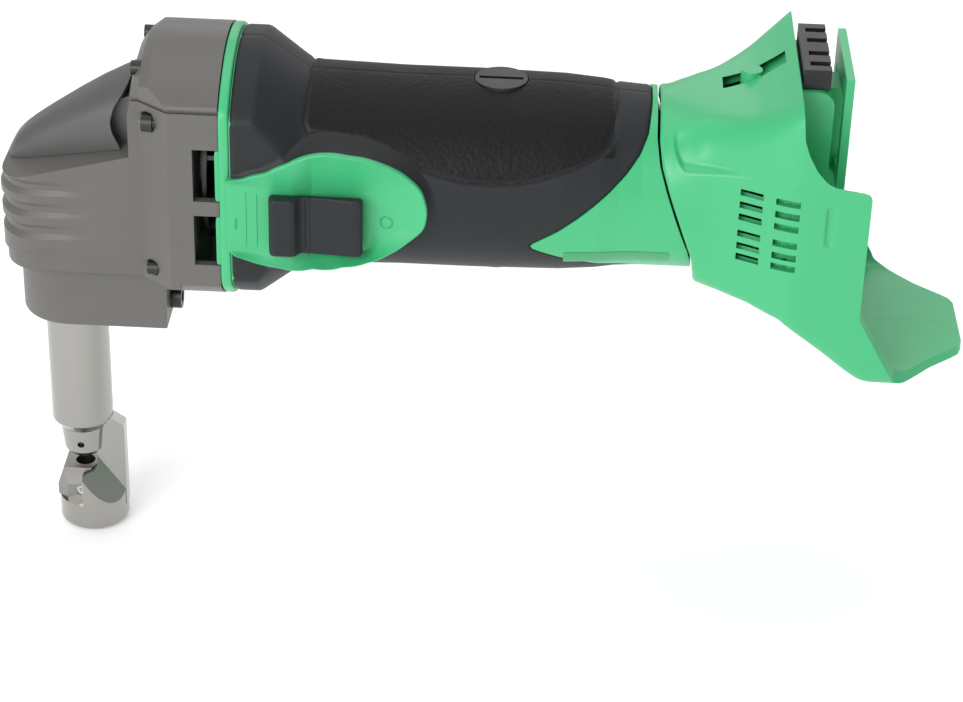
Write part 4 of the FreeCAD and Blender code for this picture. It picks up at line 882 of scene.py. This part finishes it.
class NIBBLER_OT_tail(bpy.types.Operator):
    """Two tail clamshells with vents, wings and tongue, and the screw boss on top"""

    bl_idname = "nibbler.tail"
    bl_label = "Tail"

    def execute(self, context):
        sizes = context.scene.nibbler_sizes
        for side, name, node in ((-1.0, "tail_half_left", "tail_shell_left"),
                                 (1.0, "tail_half_right", "tail_shell_right")):
            parts = [tail_half(side, sizes), bulkhead_part(side)]
            place(name, parts, MADE["green"], ROOT, (node,), cutter=tail_cutters(),
                  sharp=28.0)
        boss = rod(2, 3.4, 28.0, 36.4, (218.6, 4.6))
        place("tail_boss", [boss], MADE["green"], ROOT)
        return {"FINISHED"}


class NIBBLER_OT_badge(bpy.types.Operator):
    """Blank name panel on the wedge"""

    bl_idname = "nibbler.badge"
    bl_label = "Name panel"

    def execute(self, context):
        place("name_panel", [badge_part()], MADE["badge"], ROOT)
        return {"FINISHED"}


def paper_finish():
    """Plain matt white paper that glows a little, so that it stays white under low, frontal light."""
    paper = finish_of("matt white paper", "#fcfcfc", 0.8, mottle=0.004, mottle_mm=300.0, grain_mm=4.0,
                      grain=0.02)
    shader = next(n for n in paper.node_tree.nodes if n.type == "BSDF_PRINCIPLED")
    white = shader.inputs["Base Color"].links[0].from_socket
    paper.node_tree.links.new(white, shader.inputs["Emission Color"])
    shader.inputs["Emission Strength"].default_value = PAPER_GLOW
    return paper


def area_light(name, place_, aim, size, power):
    """Rectangular soft light turned towards a point."""
    light = bpy.data.lights.new(name, "AREA")
    light.shape = "RECTANGLE"
    light.size, light.size_y = size
    light.energy = power
    holder = bpy.data.objects.new(name, light)
    bpy.context.scene.collection.objects.link(holder)
    away = np.array(aim) - np.array(place_)
    away = away / np.linalg.norm(away)
    side = np.cross(away, (0.0, 0.0, 1.0))
    side = side / np.linalg.norm(side)
    up = np.cross(side, away)
    rows = np.stack([side, up, -away], -1)
    holder.matrix_world = Matrix([[*rows[0], place_[0]], [*rows[1], place_[1]], [*rows[2], place_[2]],
                                  [0.0, 0.0, 0.0, 1.0]])


class NIBBLER_OT_stage(bpy.types.Operator):
    """Pale floor, soft studio light and the camera"""

    bl_idname = "nibbler.stage"
    bl_label = "Stage"

    def execute(self, context):
        scene = context.scene
        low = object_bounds()[0]
        span = np.linspace(-3.0, 3.0, 13)
        x, y = np.meshgrid(span, span + 1.0, indexing="ij")
        z = np.full_like(x, low.z - scene.nibbler_sizes.floor_drop)
        mesh = bpy.data.meshes.new("floor")
        mesh.from_pydata(np.stack([x, y, z], -1).reshape(-1, 3).tolist(), [], grid_faces(13, 13).tolist())
        floor = bpy.data.objects.new("floor", mesh)
        scene.collection.objects.link(floor)
        mesh.materials.append(paper_finish())
        floor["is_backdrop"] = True

        world = bpy.data.worlds.new("studio")
        scene.world = world
        world.use_nodes = True
        world.node_tree.nodes["Background"].inputs["Color"].default_value = (1.0, 1.0, 1.0, 1.0)
        world.node_tree.nodes["Background"].inputs["Strength"].default_value = WORLD_LIGHT
        middle = (LIGHT_AIM_X, 0.0, AXIS_Z)
        for name, place_, size, power in LIGHTS:
            area_light(name, place_, middle, size, power)

        azimuth, elevation = math.radians(CAMERA_AZIMUTH), math.radians(CAMERA_ELEVATION)
        roll = math.radians(CAMERA_ROLL)
        right = np.array([math.cos(azimuth), math.sin(azimuth), 0.0])
        ahead = np.array([-math.sin(azimuth) * math.cos(elevation), math.cos(azimuth) * math.cos(elevation),
                          -math.sin(elevation)])
        above = np.cross(right, ahead)
        x_axis = math.cos(roll) * right + math.sin(roll) * above
        y_axis = -math.sin(roll) * right + math.cos(roll) * above
        eye = np.array([CAMERA_AIM_X, 0.0, 0.0]) - CAMERA_DISTANCE * ahead
        eye = eye - CAMERA_SHIFT[0] * x_axis - CAMERA_SHIFT[1] * y_axis
        eye = eye * MM + np.array([0.0, 0.0, AXIS_Z])
        camera = bpy.data.cameras.new("camera")
        camera.sensor_width = SENSOR_WIDTH
        camera.lens = LENS
        camera.clip_start, camera.clip_end = 0.05, 20.0
        holder = bpy.data.objects.new("camera", camera)
        scene.collection.objects.link(holder)
        holder.matrix_world = Matrix([[x_axis[i], y_axis[i], -ahead[i], eye[i]] for i in range(3)]
                                     + [[0.0, 0.0, 0.0, 1.0]])
        scene.camera = holder
        scene.view_settings.view_transform = "Standard"
        return {"FINISHED"}


class NIBBLER_PT_panel(bpy.types.Panel):
    """Lists the nibbler's sizes, colours and building steps"""

    bl_idname = "NIBBLER_PT_panel"
    bl_label = "Nibbler"
    bl_space_type = "VIEW_3D"
    bl_region_type = "UI"
    bl_category = "Nibbler"

    def draw(self, context):
        layout = self.layout
        for group in (context.scene.nibbler_sizes, context.scene.nibbler_colours):
            for key in group.__annotations__:
                layout.prop(group, key)
        for step in STEPS:
            layout.operator(step.bl_idname)


STEPS = (NIBBLER_OT_finishes, NIBBLER_OT_grip, NIBBLER_OT_bezel, NIBBLER_OT_slider, NIBBLER_OT_cover,
         NIBBLER_OT_tail, NIBBLER_OT_badge, NIBBLER_OT_stage)
CLASSES = (NibblerSizes, NibblerColours) + STEPS + (NIBBLER_PT_panel,)


def register():
    for item in CLASSES:
        bpy.utils.register_class(item)
    bpy.types.Scene.nibbler_sizes = PointerProperty(type=NibblerSizes)
    bpy.types.Scene.nibbler_colours = PointerProperty(type=NibblerColours)


def unregister():
    del bpy.types.Scene.nibbler_colours
    del bpy.types.Scene.nibbler_sizes
    for item in reversed(CLASSES):
        bpy.utils.unregister_class(item)


def main():
    register()
    for step in STEPS:
        group, name = step.bl_idname.split(".")
        getattr(getattr(bpy.ops, group), name)()


if __name__ == "__main__":
    main()
